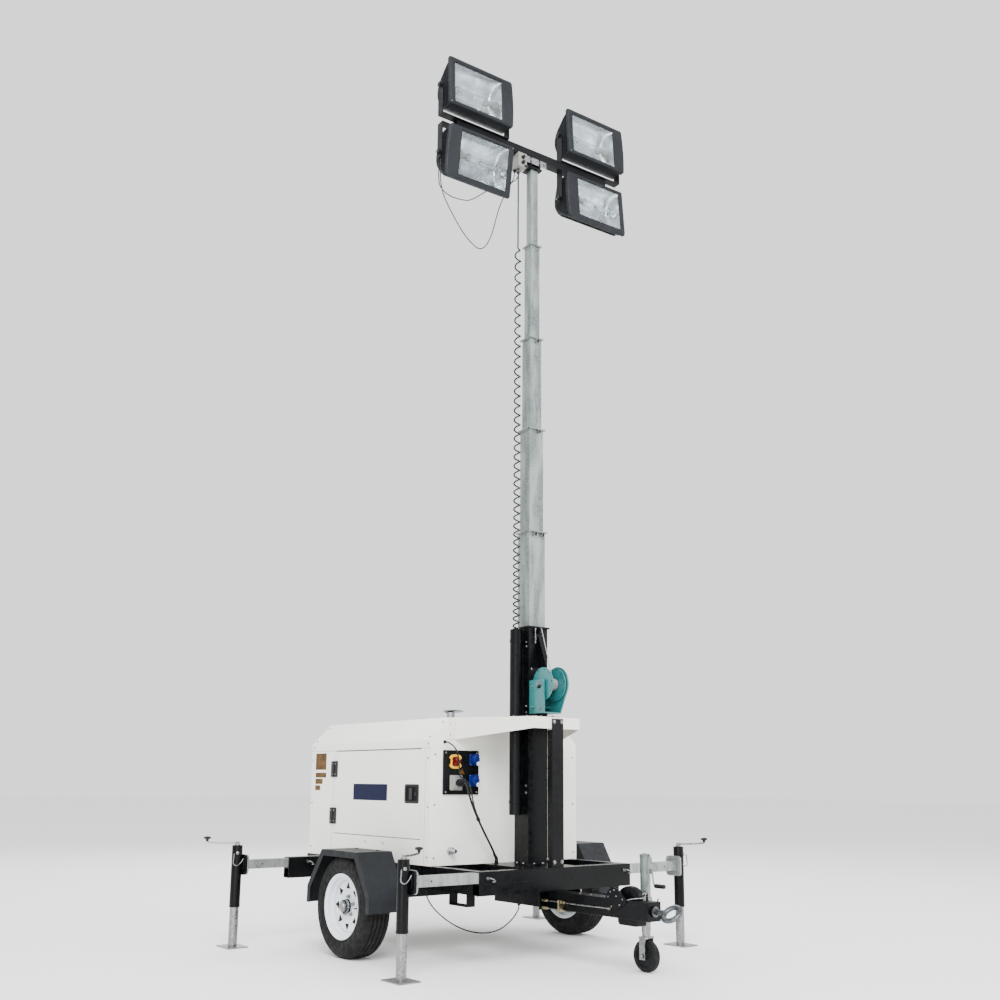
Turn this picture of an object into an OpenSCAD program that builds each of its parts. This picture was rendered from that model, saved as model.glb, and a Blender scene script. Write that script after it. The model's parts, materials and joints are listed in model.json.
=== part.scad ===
// Mobile light tower on a single-axle trailer.
// Millimetres. +X points along the drawbar to the tow eye, +Y to the trailer's left, +Z up.
// The origin lies on the floor, on the centre plane, below the canopy's front wall.

/* [Canopy] */
// Length of the canopy along the trailer
canopy_len = 1490; // [1300:10:1700]
// Width of the canopy
canopy_w = 1232; // [1100:2:1320]
// Height where the side walls end and the roof starts
seam_z = 1270; // [1200:5:1300]
// Height of the roof's shoulder line
shoulder_z = 1320; // [1305:5:1350]
// Height of the flat top of the roof
roof_z = 1465; // [1440:5:1520]
// How far the sloped shoulder runs inwards
shoulder_in = 145; // [100:5:200]
// Thickness of the lined canopy walls
wall_t = 25; // [15:1:35]
// Thickness of the roof panel
roof_t = 20; // [10:1:30]

/* [Doors] */
// Length of a side door
door_len = 1048; // [900:4:1080]
// Height of a side door
door_h = 554; // [480:2:560]
// Distance from the front wall to the door's front edge
door_front = 107; // [80:1:140]
// Height of the door's lower edge
door_z = 709; // [705:1:712]
// Gap round a door
door_gap = 5; // [4:0.5:8]
// Height of one hinge
hinge_h = 110; // [80:5:140]

/* [Chassis] */
// Height of the chassis' top face
chassis_top = 552; // [540:1:560]
// Depth of the side rails and cross beams
beam_h = 136; // [130:2:150]
// Thickness of the square sleeves that carry the arms
sleeve_w = 70; // [68:1:76]
// Width of the side rails
rail_w = 60; // [50:1:80]
// Front face of the front beam
beam_x = 505; // [490:1:560]
// Overhang of the rails behind the canopy
tail_over = 12; // [0:2:60]
// Centre of the rear sleeve behind the front wall
rear_arm_x = -1208; // [-1260:2:-1180]
// Half length of the rear sleeve
rear_sleeve_y = 940; // [880:5:960]
// Wall of the sleeves, rails and drawbar
steel_t = 5; // [4:0.5:6]

/* [Arms and jacks] */
// Width of the square sliding arms
arm_w = 59; // [54:1:59]
// Distance of the front jacks from the centre plane
front_jack_y = 1124; // [1080:4:1180]
// Distance of the rear jacks from the centre plane
rear_jack_y = 1306; // [1260:4:1360]
// Outer radius of a jack tube
jack_r = 34; // [30:0.5:36]
// Radius of the sliding leg
leg_r = 29; // [24:0.5:29]
// Height of a jack tube's top
jack_top = 640; // [600:5:645]
// Height of a jack tube's lower end
jack_low = 250; // [200:5:280]
// Length of a foot plate
foot_len = 180; // [140:5:200]
// Width of a foot plate
foot_w = 140; // [110:5:150]
// Thickness of a foot plate
foot_t = 8; // [6:1:12]
// Reach of the crank handle
crank_len = 200; // [150:5:210]
// Size of the square swivel plates
swivel_w = 130; // [110:2:140]

/* [Running gear] */
// Outer radius of the tyres
tyre_r = 307; // [295:1:312]
// Width of the tyres
tyre_w = 188; // [165:1:195]
// Radius of the rim's flange
rim_r = 195; // [180:1:200]
// Distance of the wheel centres from the centre plane
wheel_y = 918; // [915:1:930]
// Place of the axle behind the front wall
axle_x = -375; // [-390:5:-360]
// Outer side of the fenders
fender_out = 1036; // [1030:1:1060]
// Width of a fender
fender_w = 252; // [240:2:260]
// Top of the fenders
fender_top = 640; // [632:1:650]
// Lower edge of the fenders
fender_low = 296; // [270:2:320]
// Thickness of the fender sheet
fender_t = 4; // [3:0.5:5]

/* [Drawbar] */
// Front end of the drawbar box
drawbar_x = 1285; // [1200:5:1400]
// Width and depth of the drawbar box
drawbar_w = 104; // [90:2:120]
// Height of the drawbar's axis
drawbar_z = 364; // [350:1:370]
// Bore radius of the tow eye
eye_r = 34; // [30:1:40]
// Thickness of the tow eye's ring
eye_t = 20; // [16:1:30]
// Turn of the tow eye about the drawbar, as parked
eye_turn = 40; // [0:1:60]
// Place of the jockey wheel along the trailer
jockey_x = 1060; // [1000:5:1100]
// Distance of the jockey wheel from the centre plane
jockey_y = 172; // [150:1:190]
// Radius of the jockey wheel
jockey_r = 90; // [80:1:100]

/* [Shelf] */
// Half width of the shelf at the canopy
shelf_back_y = 436; // [400:4:460]
// Half width of the shelf at its front edge
shelf_front_y = 195; // [180:5:230]
// Front edge of the shelf
shelf_x = 490; // [480:1:498]
// Depth of the shelf's flange at the canopy
shelf_back_h = 140; // [120:5:160]
// Depth of the shelf's flange at its front
shelf_front_h = 72; // [60:2:90]

/* [Mast] */
// Place of the mast axis in front of the canopy
mast_x = 239; // [236:1:244]
// Turn of the mast to the trailer's right, as parked
mast_turn = 4.6; // [0:0.1:10]
// Outer widths of the base and the five sections
base_w = 150; // [148:1:152]
// Outer width of section 1
sec1_w = 128; // [126:1:130]
// Outer width of section 2
sec2_w = 112; // [110:1:112]
// Outer width of section 3
sec3_w = 94; // [92:1:96]
// Outer width of section 4
sec4_w = 76; // [74:1:78]
// Outer width of section 5
sec5_w = 58; // [54:1:60]
// Wall of the mast base
base_wall = 5; // [4:0.5:6]
// Wall of the mast sections
sec_wall = 4; // [3:0.5:4]
// Height of the mast base's top
base_top = 2057; // [2000:1:2100]
// Tops of the five sections above one another, as parked
sec1_up = 643; // [600:1:720]
// Rise of section 2 above section 1
sec2_up = 715; // [600:1:720]
// Rise of section 3 above section 2
sec3_up = 657; // [600:1:720]
// Rise of section 4 above section 3
sec4_up = 697; // [600:1:720]
// Rise of section 5 above section 4
sec5_up = 582; // [560:1:640]
// Length of one section
sec_len = 1450; // [1400:5:1460]
// Height of a collar
collar_h = 10; // [8:1:14]
// Stand-out of a collar
collar_out = 12; // [8:1:13]
// Height of the slide pads inside a section's top
pad_h = 38; // [30:1:40]

/* [Lamps] */
// Width of a lamp
lamp_w = 515; // [480:5:540]
// Height of a lamp
lamp_h = 363; // [340:1:366]
// Distance of a lamp's centre from the mast
lamp_y = 508; // [490:2:530]
// Height of the light bar's axis
bar_z = 5470; // [5460:1:5490]
// Height of the light bar
bar_h = 64; // [56:1:66]
// Depth of the light bar
bar_d = 60; // [50:1:70]
// Distance of the lamp pivots above and below the bar's axis
pivot_up = 252; // [250:1:262]
// Depth from a lamp's pivot to its face
lamp_front = 95; // [90:1:98]

/* [Hidden] */
$fn = 48;

chassis_w = canopy_w + 4;
chassis_low = chassis_top - beam_h;
tail_x = -canopy_len - tail_over;
arm_z = chassis_top - sleeve_w / 2;
front_arm_x = beam_x - sleeve_w / 2;
seat = 0.3;        // gap between pieces that rest on one another
slide_gap = 0.5;   // gap of what slides or turns in a guide

// Corners: name, x, y of the jack, y where its sleeve ends, direction of the crank in degrees
CORNERS = [
    ["front_right", front_arm_x, -front_jack_y, -chassis_w / 2, 120],
    ["front_left", front_arm_x, front_jack_y, chassis_w / 2, 68],
    ["rear_right", rear_arm_x, -rear_jack_y, -rear_sleeve_y, 240],
    ["rear_left", rear_arm_x, rear_jack_y, rear_sleeve_y, 120]];

BLACK = "#1a1c1f";
WHITE = "#e8e9e3";
STEEL = "#a9acaa";
GREY = "#565a5f";

// A box given by its corners
module span(a, b) {
    translate([min(a[0], b[0]), min(a[1], b[1]), min(a[2], b[2])])
        cube([abs(b[0] - a[0]), abs(b[1] - a[1]), abs(b[2] - a[2])]);
}

// A cylinder along Y that runs from y1 to y2
module rod_y(x, z, y1, y2, r) {
    translate([x, min(y1, y2), z]) rotate([-90, 0, 0]) cylinder(r = r, h = abs(y2 - y1));
}

// A cylinder along X that runs from x1 to x2
module rod_x(y, z, x1, x2, r) {
    translate([min(x1, x2), y, z]) rotate([0, 90, 0]) cylinder(r = r, h = abs(x2 - x1));
}

// A profile of x and z points, extruded along Y from y1 to y2
module slab_y(y1, y2) {
    translate([0, max(y1, y2), 0]) rotate([90, 0, 0]) linear_extrude(abs(y2 - y1)) children();
}

// A profile of y and z points, extruded along X from x1 to x2
module slab_x(x1, x2) {
    translate([min(x1, x2), 0, 0]) rotate([90, 0, 90]) linear_extrude(abs(x2 - x1)) children();
}

// A square with round corners, centred
module round_square(w, h, r) {
    union() {
        square([w - 2 * r, h], center = true);
        square([w, h - 2 * r], center = true);
        for (sx = [-1, 1], sy = [-1, 1])
            translate([sx * (w / 2 - r), sy * (h / 2 - r)]) circle(r);
    }
}

// Chassis
loop_x = 300;      // front fork loop's centre
loop_back_x = -1020;   // rear fork loop's centre
loop_w = 160;      // clear width of a fork loop
loop_h = 62;       // clear height of a fork loop
loop_t = 8;        // strap thickness of a fork loop
cross_xs = [-1440, -700, -60];

module chassis() {
    color(BLACK) difference() {
        union() {
            for (s = [-1, 1]) {
                span([tail_x, s * (chassis_w / 2 - rail_w), chassis_low], [beam_x - sleeve_w, s * chassis_w / 2, chassis_top]);
                for (x = [loop_x, loop_back_x])
                    span([x - loop_w / 2 - loop_t, s * (chassis_w / 2 - rail_w), chassis_low - loop_h - loop_t],
                        [x + loop_w / 2 + loop_t, s * chassis_w / 2, chassis_low + 1]);
            }
            for (x = cross_xs)
                span([x - 30, -chassis_w / 2 + rail_w - 1, chassis_low], [x + 30, chassis_w / 2 - rail_w + 1, chassis_top]);
            span([beam_x - sleeve_w, -chassis_w / 2, chassis_low], [beam_x, chassis_w / 2, chassis_top]);
            span([rear_arm_x - sleeve_w / 2, -rear_sleeve_y, chassis_low], [rear_arm_x + sleeve_w / 2, rear_sleeve_y, chassis_top]);
            span([-40, -200, chassis_top - 8], [beam_x - sleeve_w + 1, 200, chassis_top]);
            for (s = [-1, 1]) span([-40, s * 150, chassis_low], [beam_x - sleeve_w + 1, s * 200, chassis_top - 4]);
            translate([LEAD[len(LEAD) - 1][0], LEAD[len(LEAD) - 1][1], chassis_top - 1]) cylinder(r = 13, h = 17);
            translate([BRAKE_LEAD[0][0], BRAKE_LEAD[0][1], 404]) cylinder(r = 9, h = chassis_low - 403);
        }
        // bores of the two sleeves
        for (x = [front_arm_x, rear_arm_x])
            span([x - sleeve_w / 2 + steel_t, -2000, arm_z - sleeve_w / 2 + steel_t],
                [x + sleeve_w / 2 - steel_t, 2000, arm_z + sleeve_w / 2 - steel_t]);
        // openings of the fork loops
        for (s = [-1, 1], x = [loop_x, loop_back_x])
            span([x - loop_w / 2, s * (chassis_w / 2 - rail_w - 5), chassis_low - loop_h],
                [x + loop_w / 2, s * (chassis_w / 2 + 5), chassis_low]);
        // hollow of the lower half of both cross beams, open at the ends
        for (x = [front_arm_x, rear_arm_x])
            span([x - sleeve_w / 2 + steel_t, -2000, chassis_low + steel_t],
                [x + sleeve_w / 2 - steel_t, 2000, arm_z - sleeve_w / 2 - steel_t]);
    }
}

module drawbar() {
    w = drawbar_w / 2;
    color(BLACK) {
        difference() {
            span([-60, -w, drawbar_z - w], [drawbar_x, w, drawbar_z + w - seat]);
            span([-80, -w + steel_t, drawbar_z - w + steel_t], [drawbar_x - 12, w - steel_t, drawbar_z + w - steel_t]);
            rod_x(0, drawbar_z, drawbar_x - 20, drawbar_x + 1, 15.6);
        }
        translate([160, -31, 300]) cylinder(r = 9, h = drawbar_z - w - 299);
    }
}

// The ring turns on a shank along the drawbar's axis
eye_len = 130;
eye_out = eye_r + 32;
eye_x = drawbar_x + eye_len;
module tow_eye() {
    color(STEEL) translate([0, 0, drawbar_z]) rotate([eye_turn, 0, 0]) {
        difference() {
            union() {
                translate([eye_x, 0, -eye_t / 2]) cylinder(r = eye_out, h = eye_t);
                rod_x(0, 0, drawbar_x - 40, eye_x - eye_out + 12, 15);
                rod_x(0, 0, drawbar_x + 2, drawbar_x + 14, 30);
            }
            translate([eye_x, 0, -eye_t]) cylinder(r = eye_r, h = 2 * eye_t);
        }
    }
}

module handbrake() {
    z = drawbar_z + drawbar_w / 2;
    color(BLACK) {
        for (s = [-1, 1]) span([1000, s * 28, z], [1110, s * 36, z + 60]);
        rod_y(1050, z + 36, -36, 36, 9);
        rod_x(0, z + 30, 1100, 1228, 24);
        span([1226, -20, z], [1246, 20, z + 46]);
        span([1090, -37, z], [1110, 37, z + 50]);
    }
}

module axle() {
    z = tyre_r;
    tube_x = axle_x + 60;
    color(BLACK) {
        span([tube_x - 35, -chassis_w / 2 - 60, chassis_low - 72], [tube_x + 35, chassis_w / 2 + 60, chassis_low - seat]);
        for (s = [-1, 1]) {
            slab_y(s * (chassis_w / 2 + 58), s * (chassis_w / 2 + 92)) polygon([
                [tube_x + 38, chassis_low - 72], [tube_x + 38, chassis_low - 4],
                [tube_x - 38, chassis_low - 4], [axle_x - 32, z + 24], [axle_x - 32, z - 34], [axle_x + 20, z - 36]]);
            rod_y(axle_x, z, s * (chassis_w / 2 + 90), s * (wheel_y - 58), 20);
            rod_y(axle_x, z, s * (wheel_y - 100), s * (wheel_y - 58), 92);
            rod_y(axle_x, z, s * (wheel_y - 60), s * (wheel_y + 20), 18);
        }
    }
}

// Profile of a fender from its rear foot over the top to its front foot, x from the axle
fender_pts = [[-370, fender_low + 10], [-368, 410], [-203, fender_top], [212, fender_top], [364, 388], [364, fender_low]];
module fender(s) {
    y1 = s * (fender_out - fender_w);
    y2 = s * fender_out;
    t = fender_t;
    module band() {
        polygon(concat(fender_pts, [[364 - t, fender_low], [364 - t, 388 - t / 2], [212 - t / 2, fender_top - t],
            [-203 + t / 2, fender_top - t], [-368 + t, 410 - t / 2], [-370 + t, fender_low + 10]]));
    }
    module rim_band(d) {
        polygon(concat(fender_pts, [[364 - d, fender_low], [364 - d, 388 - d * 0.3], [212 - d * 0.7, fender_top - d],
            [-203 + d * 0.6, fender_top - d], [-368 + d, 410 - d * 0.3], [-370 + d, fender_low + 10]]));
    }
    translate([axle_x, 0, 0]) {
        slab_y(y1, y2) band();
        slab_y(y2 - s * t, y2) rim_band(38);
        for (x = [-250, 250])
            span([x - 20, s * chassis_w / 2, chassis_top - 90], [x + 20, y1 + s * 2, chassis_top - 50]);
        slab_y(y1, y1 + s * t) polygon([[-370, 420], [-203, fender_top], [212, fender_top], [364, 400], [240, 400], [200, 560], [-200, 560], [-260, 420]]);
    }
}

module fenders() {
    color("#2a2d31") { fender(-1); fender(1); }
}

door_x1 = -door_front - door_len;
door_x2 = -door_front;
module canopy() {
    y = canopy_w / 2;
    color(WHITE) difference() {
        span([-canopy_len, -y, chassis_top], [0, y, seam_z]);
        span([-canopy_len + wall_t, -y + wall_t, chassis_top + 15], [-wall_t, y - wall_t, seam_z + 1]);
        for (s = [-1, 1])
            span([door_x1 - door_gap, s * (y - wall_t - 1), door_z - door_gap],
                [door_x2 + door_gap, s * (y + 1), door_z + door_h + door_gap]);
    }
    // fixed leaves of the door hinges
    color(BLACK) for (s = [-1, 1], z = hinge_zs)
        span([hinge_x - 40, s * y, z - hinge_h / 2], [hinge_x - 8 - seat, s * (y + 9), z + hinge_h / 2]);
}

module roof_profile(d) {
    y = canopy_w / 2 - d;
    i = shoulder_in;
    polygon([[-y, seam_z], [-y, shoulder_z - d * 0.4], [-y + i, roof_z - d], [y - i, roof_z - d], [y, shoulder_z - d * 0.4], [y, seam_z]]);
}

module roof() {
    color(WHITE) difference() {
        slab_x(-canopy_len, 0) roof_profile(0);
        translate([0, 0, -0.5]) slab_x(-canopy_len + roof_t, -roof_t) roof_profile(roof_t);
        translate([exhaust_x, exhaust_y, roof_z - 60]) cylinder(r = exhaust_r + seat, h = 100);
    }
}

module engine_block() {
    color("#4a4d50") span([-1290, -300, chassis_top + 15], [-200, 300, chassis_top + 560]);
}

// Right-hand door; the left one is its mirror image
hinge_x = door_x1 - 8;
hinge_y = canopy_w / 2 + 9;
hinge_zs = [824, 1143];
latch = [-205, 985];   // centre of the latch, x and z
module door_shape() {
    y = canopy_w / 2;
    color(WHITE) difference() {
        span([door_x1, -y, door_z], [door_x2, -y + wall_t, door_z + door_h]);
        span([latch[0] - 75, -y - 1, latch[1] - 55], [latch[0] + 75, -y + 14, latch[1] + 55]);
    }
    color(BLACK) {
        span([latch[0] - 72, -y + 3, latch[1] - 52], [latch[0] + 72, -y + 14, latch[1] + 52]);
        for (z = hinge_zs) {
            span([hinge_x, -y - 9, z - hinge_h / 2], [hinge_x + 40, -y, z + hinge_h / 2]);
            translate([hinge_x, -hinge_y, z - hinge_h / 2]) cylinder(r = 8, h = hinge_h);
        }
    }
}
module door_right() { door_shape(); }
module door_left() { mirror([0, 1, 0]) door_shape(); }

// Control panel on the front wall: plate, isolator and sockets
PANEL = [-527, -248, 982, 1258];   // y1, y2, z1, z2
isolator_at = [-440, 1185];
// Sockets: y, z, radius, stand-out
SOCKETS = [[-285, 1203, 34, 42], [-284, 1072, 34, 42], [-430, 1056, 36, 30]];
module control_panel() {
    color(BLACK) slab_x(seat, 12) translate([(PANEL[0] + PANEL[1]) / 2, (PANEL[2] + PANEL[3]) / 2])
        round_square(PANEL[1] - PANEL[0], PANEL[3] - PANEL[2], 12);
    color("gold") rod_x(isolator_at[0], isolator_at[1], 11, 20, 34);
    color("firebrick") rod_x(isolator_at[0], isolator_at[1], 19, 46, 17);
    color("royalblue") for (s = SOCKETS) rod_x(s[0], s[1], 11, 12 + s[3], s[2]);
}

exhaust_x = -125;
exhaust_y = -377;
exhaust_r = 26;
module exhaust() {
    color(STEEL) translate([exhaust_x, exhaust_y, 0]) {
        difference() {
            translate([0, 0, roof_z - 120]) cylinder(r = exhaust_r, h = 160);
            translate([0, 0, roof_z - 110]) cylinder(r = exhaust_r - 2.5, h = 200);
        }
        translate([0, 0, roof_z + 44]) rotate([0, -12, 0]) cylinder(r = exhaust_r + 4, h = 4);
        translate([-exhaust_r - 6, -6, roof_z + 20]) cube([8, 12, 26]);
    }
}

// Shelf: a tapering tray under the roof's level, with a round hole for the mast
hole_r = 176;
module shelf() {
    t = 4;
    zr = roof_z;
    plan = [[0.3, -shelf_back_y], [shelf_x, -shelf_front_y], [shelf_x, shelf_front_y], [0.3, shelf_back_y]];
    color(WHITE) difference() {
        union() {
            translate([0, 0, zr - t]) linear_extrude(t) polygon(plan);
            intersection() {
                difference() {
                    translate([0, 0, zr - shelf_back_h]) linear_extrude(shelf_back_h) polygon(plan);
                    translate([0, 0, zr - shelf_back_h - 1]) linear_extrude(shelf_back_h + 1 - t / 2)
                        polygon([[-1, -shelf_back_y + t + 2], [shelf_x - t, -shelf_front_y + t], [shelf_x - t, shelf_front_y - t], [-1, shelf_back_y - t - 2]]);
                }
                slab_y(-shelf_back_y - 10, shelf_back_y + 10) polygon([[0, zr - shelf_back_h], [0, zr], [shelf_x, zr], [shelf_x, zr - shelf_front_h]]);
            }
        }
        translate([mast_x, 0, zr - 50]) cylinder(r = hole_r, h = 100, $fn = 96);
    }
}

// Front post: a channel with its web against the front of the shelf, standing on the front beam
brace_w = 94;
brace_deep = 40;
brace_t = 6;
module front_brace() {
    w = brace_w / 2;
    x = shelf_x + seat;
    color(BLACK) {
        span([x, -w, chassis_top + seat], [x + brace_t, w, roof_z - 10]);
        for (s = [-1, 1])
            span([x - brace_deep, s * w, chassis_top + seat], [x + 1, s * (w - brace_t), roof_z - shelf_front_h - brace_t]);
        span([x - brace_deep, -w, chassis_top + seat], [x + 1, w, chassis_top + 8]);
    }
}

module tyre(s) {
    w = tyre_w / 2;
    color("#202224") translate([axle_x, s * wheel_y, tyre_r]) rotate([-90, 0, 0]) rotate_extrude($fn = 96) polygon([
        [rim_r - 17 + seat, -w + 22], [rim_r + 10, -w + 6], [rim_r + 55, -w], [tyre_r - 38, -w + 4],
        [tyre_r - 10, -w + 16], [tyre_r, -w + 34], [tyre_r, w - 34], [tyre_r - 10, w - 16],
        [tyre_r - 38, w - 4], [rim_r + 55, w], [rim_r + 10, w - 6], [rim_r - 17 + seat, w - 22]]);
}
module tyre_right() { tyre(-1); }
module tyre_left() { tyre(1); }

// Radii of a rim: bead seat, drop centre and the disc's bolt face
seat_r = rim_r - 17;
well_r = rim_r - 33;
barrel_t = 5;
disc_z = 34;
module rim(s) {
    w = tyre_w / 2;
    t = barrel_t;
    translate([axle_x, s * wheel_y, tyre_r]) rotate([s < 0 ? 90 : -90, 0, 0]) {
        color(WHITE) difference() {
            rotate_extrude($fn = 96) union() {
                polygon([
                    [seat_r, w - 21.5], [rim_r, w - 11.3], [rim_r, w - 6], [rim_r - 5, w - 6], [seat_r - t, w - 19],
                    [seat_r - t, w - 38], [well_r - t, w - 50], [well_r - t, 58 - w], [seat_r - t, 46 - w],
                    [seat_r - t, 18 - w], [rim_r - 5, 6 - w], [rim_r, 6 - w], [rim_r, 11.3 - w], [seat_r, 21.5 - w],
                    [seat_r, 48 - w], [well_r, 60 - w], [well_r, w - 52], [seat_r, w - 40]]);
                polygon([[well_r - t + 1, disc_z - 4], [148, disc_z + 4], [110, disc_z + 4], [84, disc_z - 6],
                    [40, disc_z - 6], [40, disc_z - 12], [86, disc_z - 12], [112, disc_z - 2], [147, disc_z - 2],
                    [well_r - t + 1, disc_z - 12]]);
            }
            for (a = [0:45:315]) rotate([0, 0, a]) translate([122, 0, 0])
                linear_extrude(80) polygon([[-17, -14], [15, 0], [-17, 14]]);
        }
        color(STEEL) difference() {
            union() {
                translate([0, 0, -55]) cylinder(r = 62, h = disc_z - 12 + 55);
                translate([0, 0, disc_z - 13]) cylinder(r = 39, h = 48);
            }
            translate([0, 0, -60]) cylinder(r = 18.5, h = 84);
        }
    }
}
module rim_right() { rim(-1); }
module rim_left() { rim(1); }

stem_top = 653;
stem_r = 26.5;
module jockey_tube() {
    color(STEEL) {
        difference() {
            translate([jockey_x, jockey_y, 330]) cylinder(r = 30, h = stem_top - 330);
            translate([jockey_x, jockey_y, 320]) cylinder(r = stem_r + slide_gap, h = stem_top - 330);
        }
        // clamp on the drawbar's left side
        difference() {
            union() {
                translate([jockey_x, jockey_y, drawbar_z - 20]) cylinder(r = 38, h = 70);
                span([jockey_x - 34, drawbar_w / 2 + seat, drawbar_z - 20], [jockey_x + 34, jockey_y, drawbar_z + 50]);
            }
            translate([jockey_x, jockey_y, drawbar_z - 30]) cylinder(r = 30.2, h = 100);
        }
        rod_x(jockey_y, 560, jockey_x + 28, jockey_x + 60, 10);
        span([jockey_x + 56, jockey_y - 8, 470], [jockey_x + 66, jockey_y + 8, 570]);
    }
    color(BLACK) rod_x(jockey_y, 482, jockey_x + 66, jockey_x + 150, 13);
}

module jockey_stem() {
    color(STEEL) translate([jockey_x, jockey_y, 222 + slide_gap]) cylinder(r = stem_r, h = 310);
}

module jockey_fork() {
    color(STEEL) {
        translate([jockey_x, jockey_y, 196]) cylinder(r = 24, h = 26);
        span([jockey_x - 24, jockey_y - 38, 188], [jockey_x + 24, jockey_y + 38, 197]);
        for (s = [-1, 1]) span([jockey_x - 22, jockey_y + s * 32, 70], [jockey_x + 22, jockey_y + s * 38, 190]);
        rod_y(jockey_x, jockey_r, jockey_y - 42, jockey_y + 42, 8);
    }
}

module jockey_wheel() {
    color(BLACK) translate([jockey_x, jockey_y, jockey_r]) rotate([-90, 0, 0]) rotate_extrude($fn = 64) polygon([
        [8.3, -27], [22, -27], [24, -16], [58, -16], [62, -24], [82, -24], [jockey_r, -14],
        [jockey_r, 14], [82, 24], [62, 24], [58, 16], [24, 16], [22, 27], [8.3, 27]]);
}

// Swivel plates: the arm's plate and the jack's plate face each other with a small gap
arm_in = 185;      // length of an arm inside its sleeve, as parked
plate_t = 10;
plate_gap = 2;
pin_r = 22;
module arm_shape(c) {
    s = c[2] < 0 ? -1 : 1;
    y2 = c[2] - s * (jack_r + plate_t + plate_gap);   // outer face of the arm's plate
    y1 = c[3] - s * arm_in;
    color(STEEL) difference() {
        union() {
            span([c[1] - arm_w / 2, y1, arm_z - arm_w / 2], [c[1] + arm_w / 2, y2 - s * plate_t + s, arm_z + arm_w / 2]);
            translate([c[1], 0, arm_z]) slab_y(y2 - s * plate_t, y2) round_square(swivel_w, swivel_w, 25);
        }
        span([c[1] - arm_w / 2 + 4, y1 - s, arm_z - arm_w / 2 + 4], [c[1] + arm_w / 2 - 4, y2 - s * plate_t, arm_z + arm_w / 2 - 4]);
        rod_y(c[1], arm_z, y2 - s * 20, y2 + s, pin_r + 0.4);
    }
}
module arm_front_right() { arm_shape(CORNERS[0]); }
module arm_front_left() { arm_shape(CORNERS[1]); }
module arm_rear_right() { arm_shape(CORNERS[2]); }
module arm_rear_left() { arm_shape(CORNERS[3]); }

module jack_shape(c) {
    s = c[2] < 0 ? -1 : 1;
    a = c[4];
    color(BLACK) {
        difference() {
            union() {
                translate([c[1], c[2], jack_low]) cylinder(r = jack_r, h = jack_top - jack_low);
                translate([c[1], 0, arm_z]) slab_y(c[2] - s * (jack_r - 4), c[2] - s * (jack_r + plate_t)) round_square(swivel_w, swivel_w, 25);
                span([c[1] - 26, c[2], arm_z - 45], [c[1] + 26, c[2] - s * (jack_r + 2), arm_z + 45]);
            }
            translate([c[1], c[2], jack_low - 1]) cylinder(r = leg_r + slide_gap, h = jack_top - jack_low - 8);
        }
        rod_y(c[1], arm_z, c[2] - s * (jack_r + plate_t - 1), c[2] - s * (jack_r + plate_t + plate_gap + 30), pin_r);
        translate([c[1] + cos(a) * crank_len, c[2] + sin(a) * crank_len, jack_top + 14]) cylinder(r = 8, h = 28);
        translate([c[1] + cos(a) * crank_len, c[2] + sin(a) * crank_len, jack_top + 40]) cylinder(r = 20, h = 16);
    }
    color(STEEL) {
        translate([c[1], c[2], jack_top - 1]) cylinder(r = 14, h = 26);
        translate([c[1], c[2], jack_top + 14]) rotate([0, 0, a]) translate([0, -8, 0]) cube([crank_len + 6, 16, 8]);
    }
}
module jack_front_right() { jack_shape(CORNERS[0]); }
module jack_front_left() { jack_shape(CORNERS[1]); }
module jack_rear_right() { jack_shape(CORNERS[2]); }
module jack_rear_left() { jack_shape(CORNERS[3]); }

module leg_shape(c) {
    color(STEEL) translate([c[1], c[2], 0]) {
        translate([0, 0, foot_t - 1]) cylinder(r = leg_r, h = 388);
        translate([-foot_len / 2, -foot_w / 2, 0]) cube([foot_len, foot_w, foot_t]);
    }
}
module leg_front_right() { leg_shape(CORNERS[0]); }
module leg_front_left() { leg_shape(CORNERS[1]); }
module leg_rear_right() { leg_shape(CORNERS[2]); }
module leg_rear_left() { leg_shape(CORNERS[3]); }

// The mast's own frame: its axis at the origin, facing forwards before its turn
module on_mast() {
    translate([mast_x, 0, 0]) rotate([0, 0, -mast_turn]) children();
}

can_r = 40;         // radius of the cord's canister
can_y = -(base_w / 2 + can_r + 7);
can_low = 860;
can_top = 2036;
plate_r = 192;
gusset_z = 1790;    // lower and upper end of the gusset on the mast's front
gusset_top = 1990;
module mast_base() {
    w = base_w / 2;
    color(BLACK) on_mast() {
        difference() {
            union() {
                span([-w, -w, chassis_top + 12], [w, w, base_top]);
                translate([0, 0, chassis_top + seat]) cylinder(r = 105, h = 12);
                translate([0, 0, roof_z + seat]) cylinder(r = plate_r, h = 8, $fn = 96);
                span([-w - collar_out, -w - collar_out, base_top - collar_h], [w + collar_out, w + collar_out, base_top]);
                slab_y(-5, 5) polygon([[w - 1, gusset_z], [w - 1, gusset_top], [w + 12, gusset_top], [w + 95, gusset_z]]);
            }
            span([-w + base_wall, -w + base_wall, chassis_top + 20], [w - base_wall, w - base_wall, base_top - pad_h]);
            guide(sec1_w, base_top);
        }
        difference() {
            union() {
                translate([0, can_y, can_low]) cylinder(r = can_r, h = can_top - can_low);
                for (z = [can_low + 60, can_top - 110]) span([-20, can_y + can_r - 6, z], [20, -w + 1, z + 40]);
            }
            translate([0, can_y, can_low + 6]) cylinder(r = can_r - 3, h = can_top - can_low);
        }
    }
}

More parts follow.
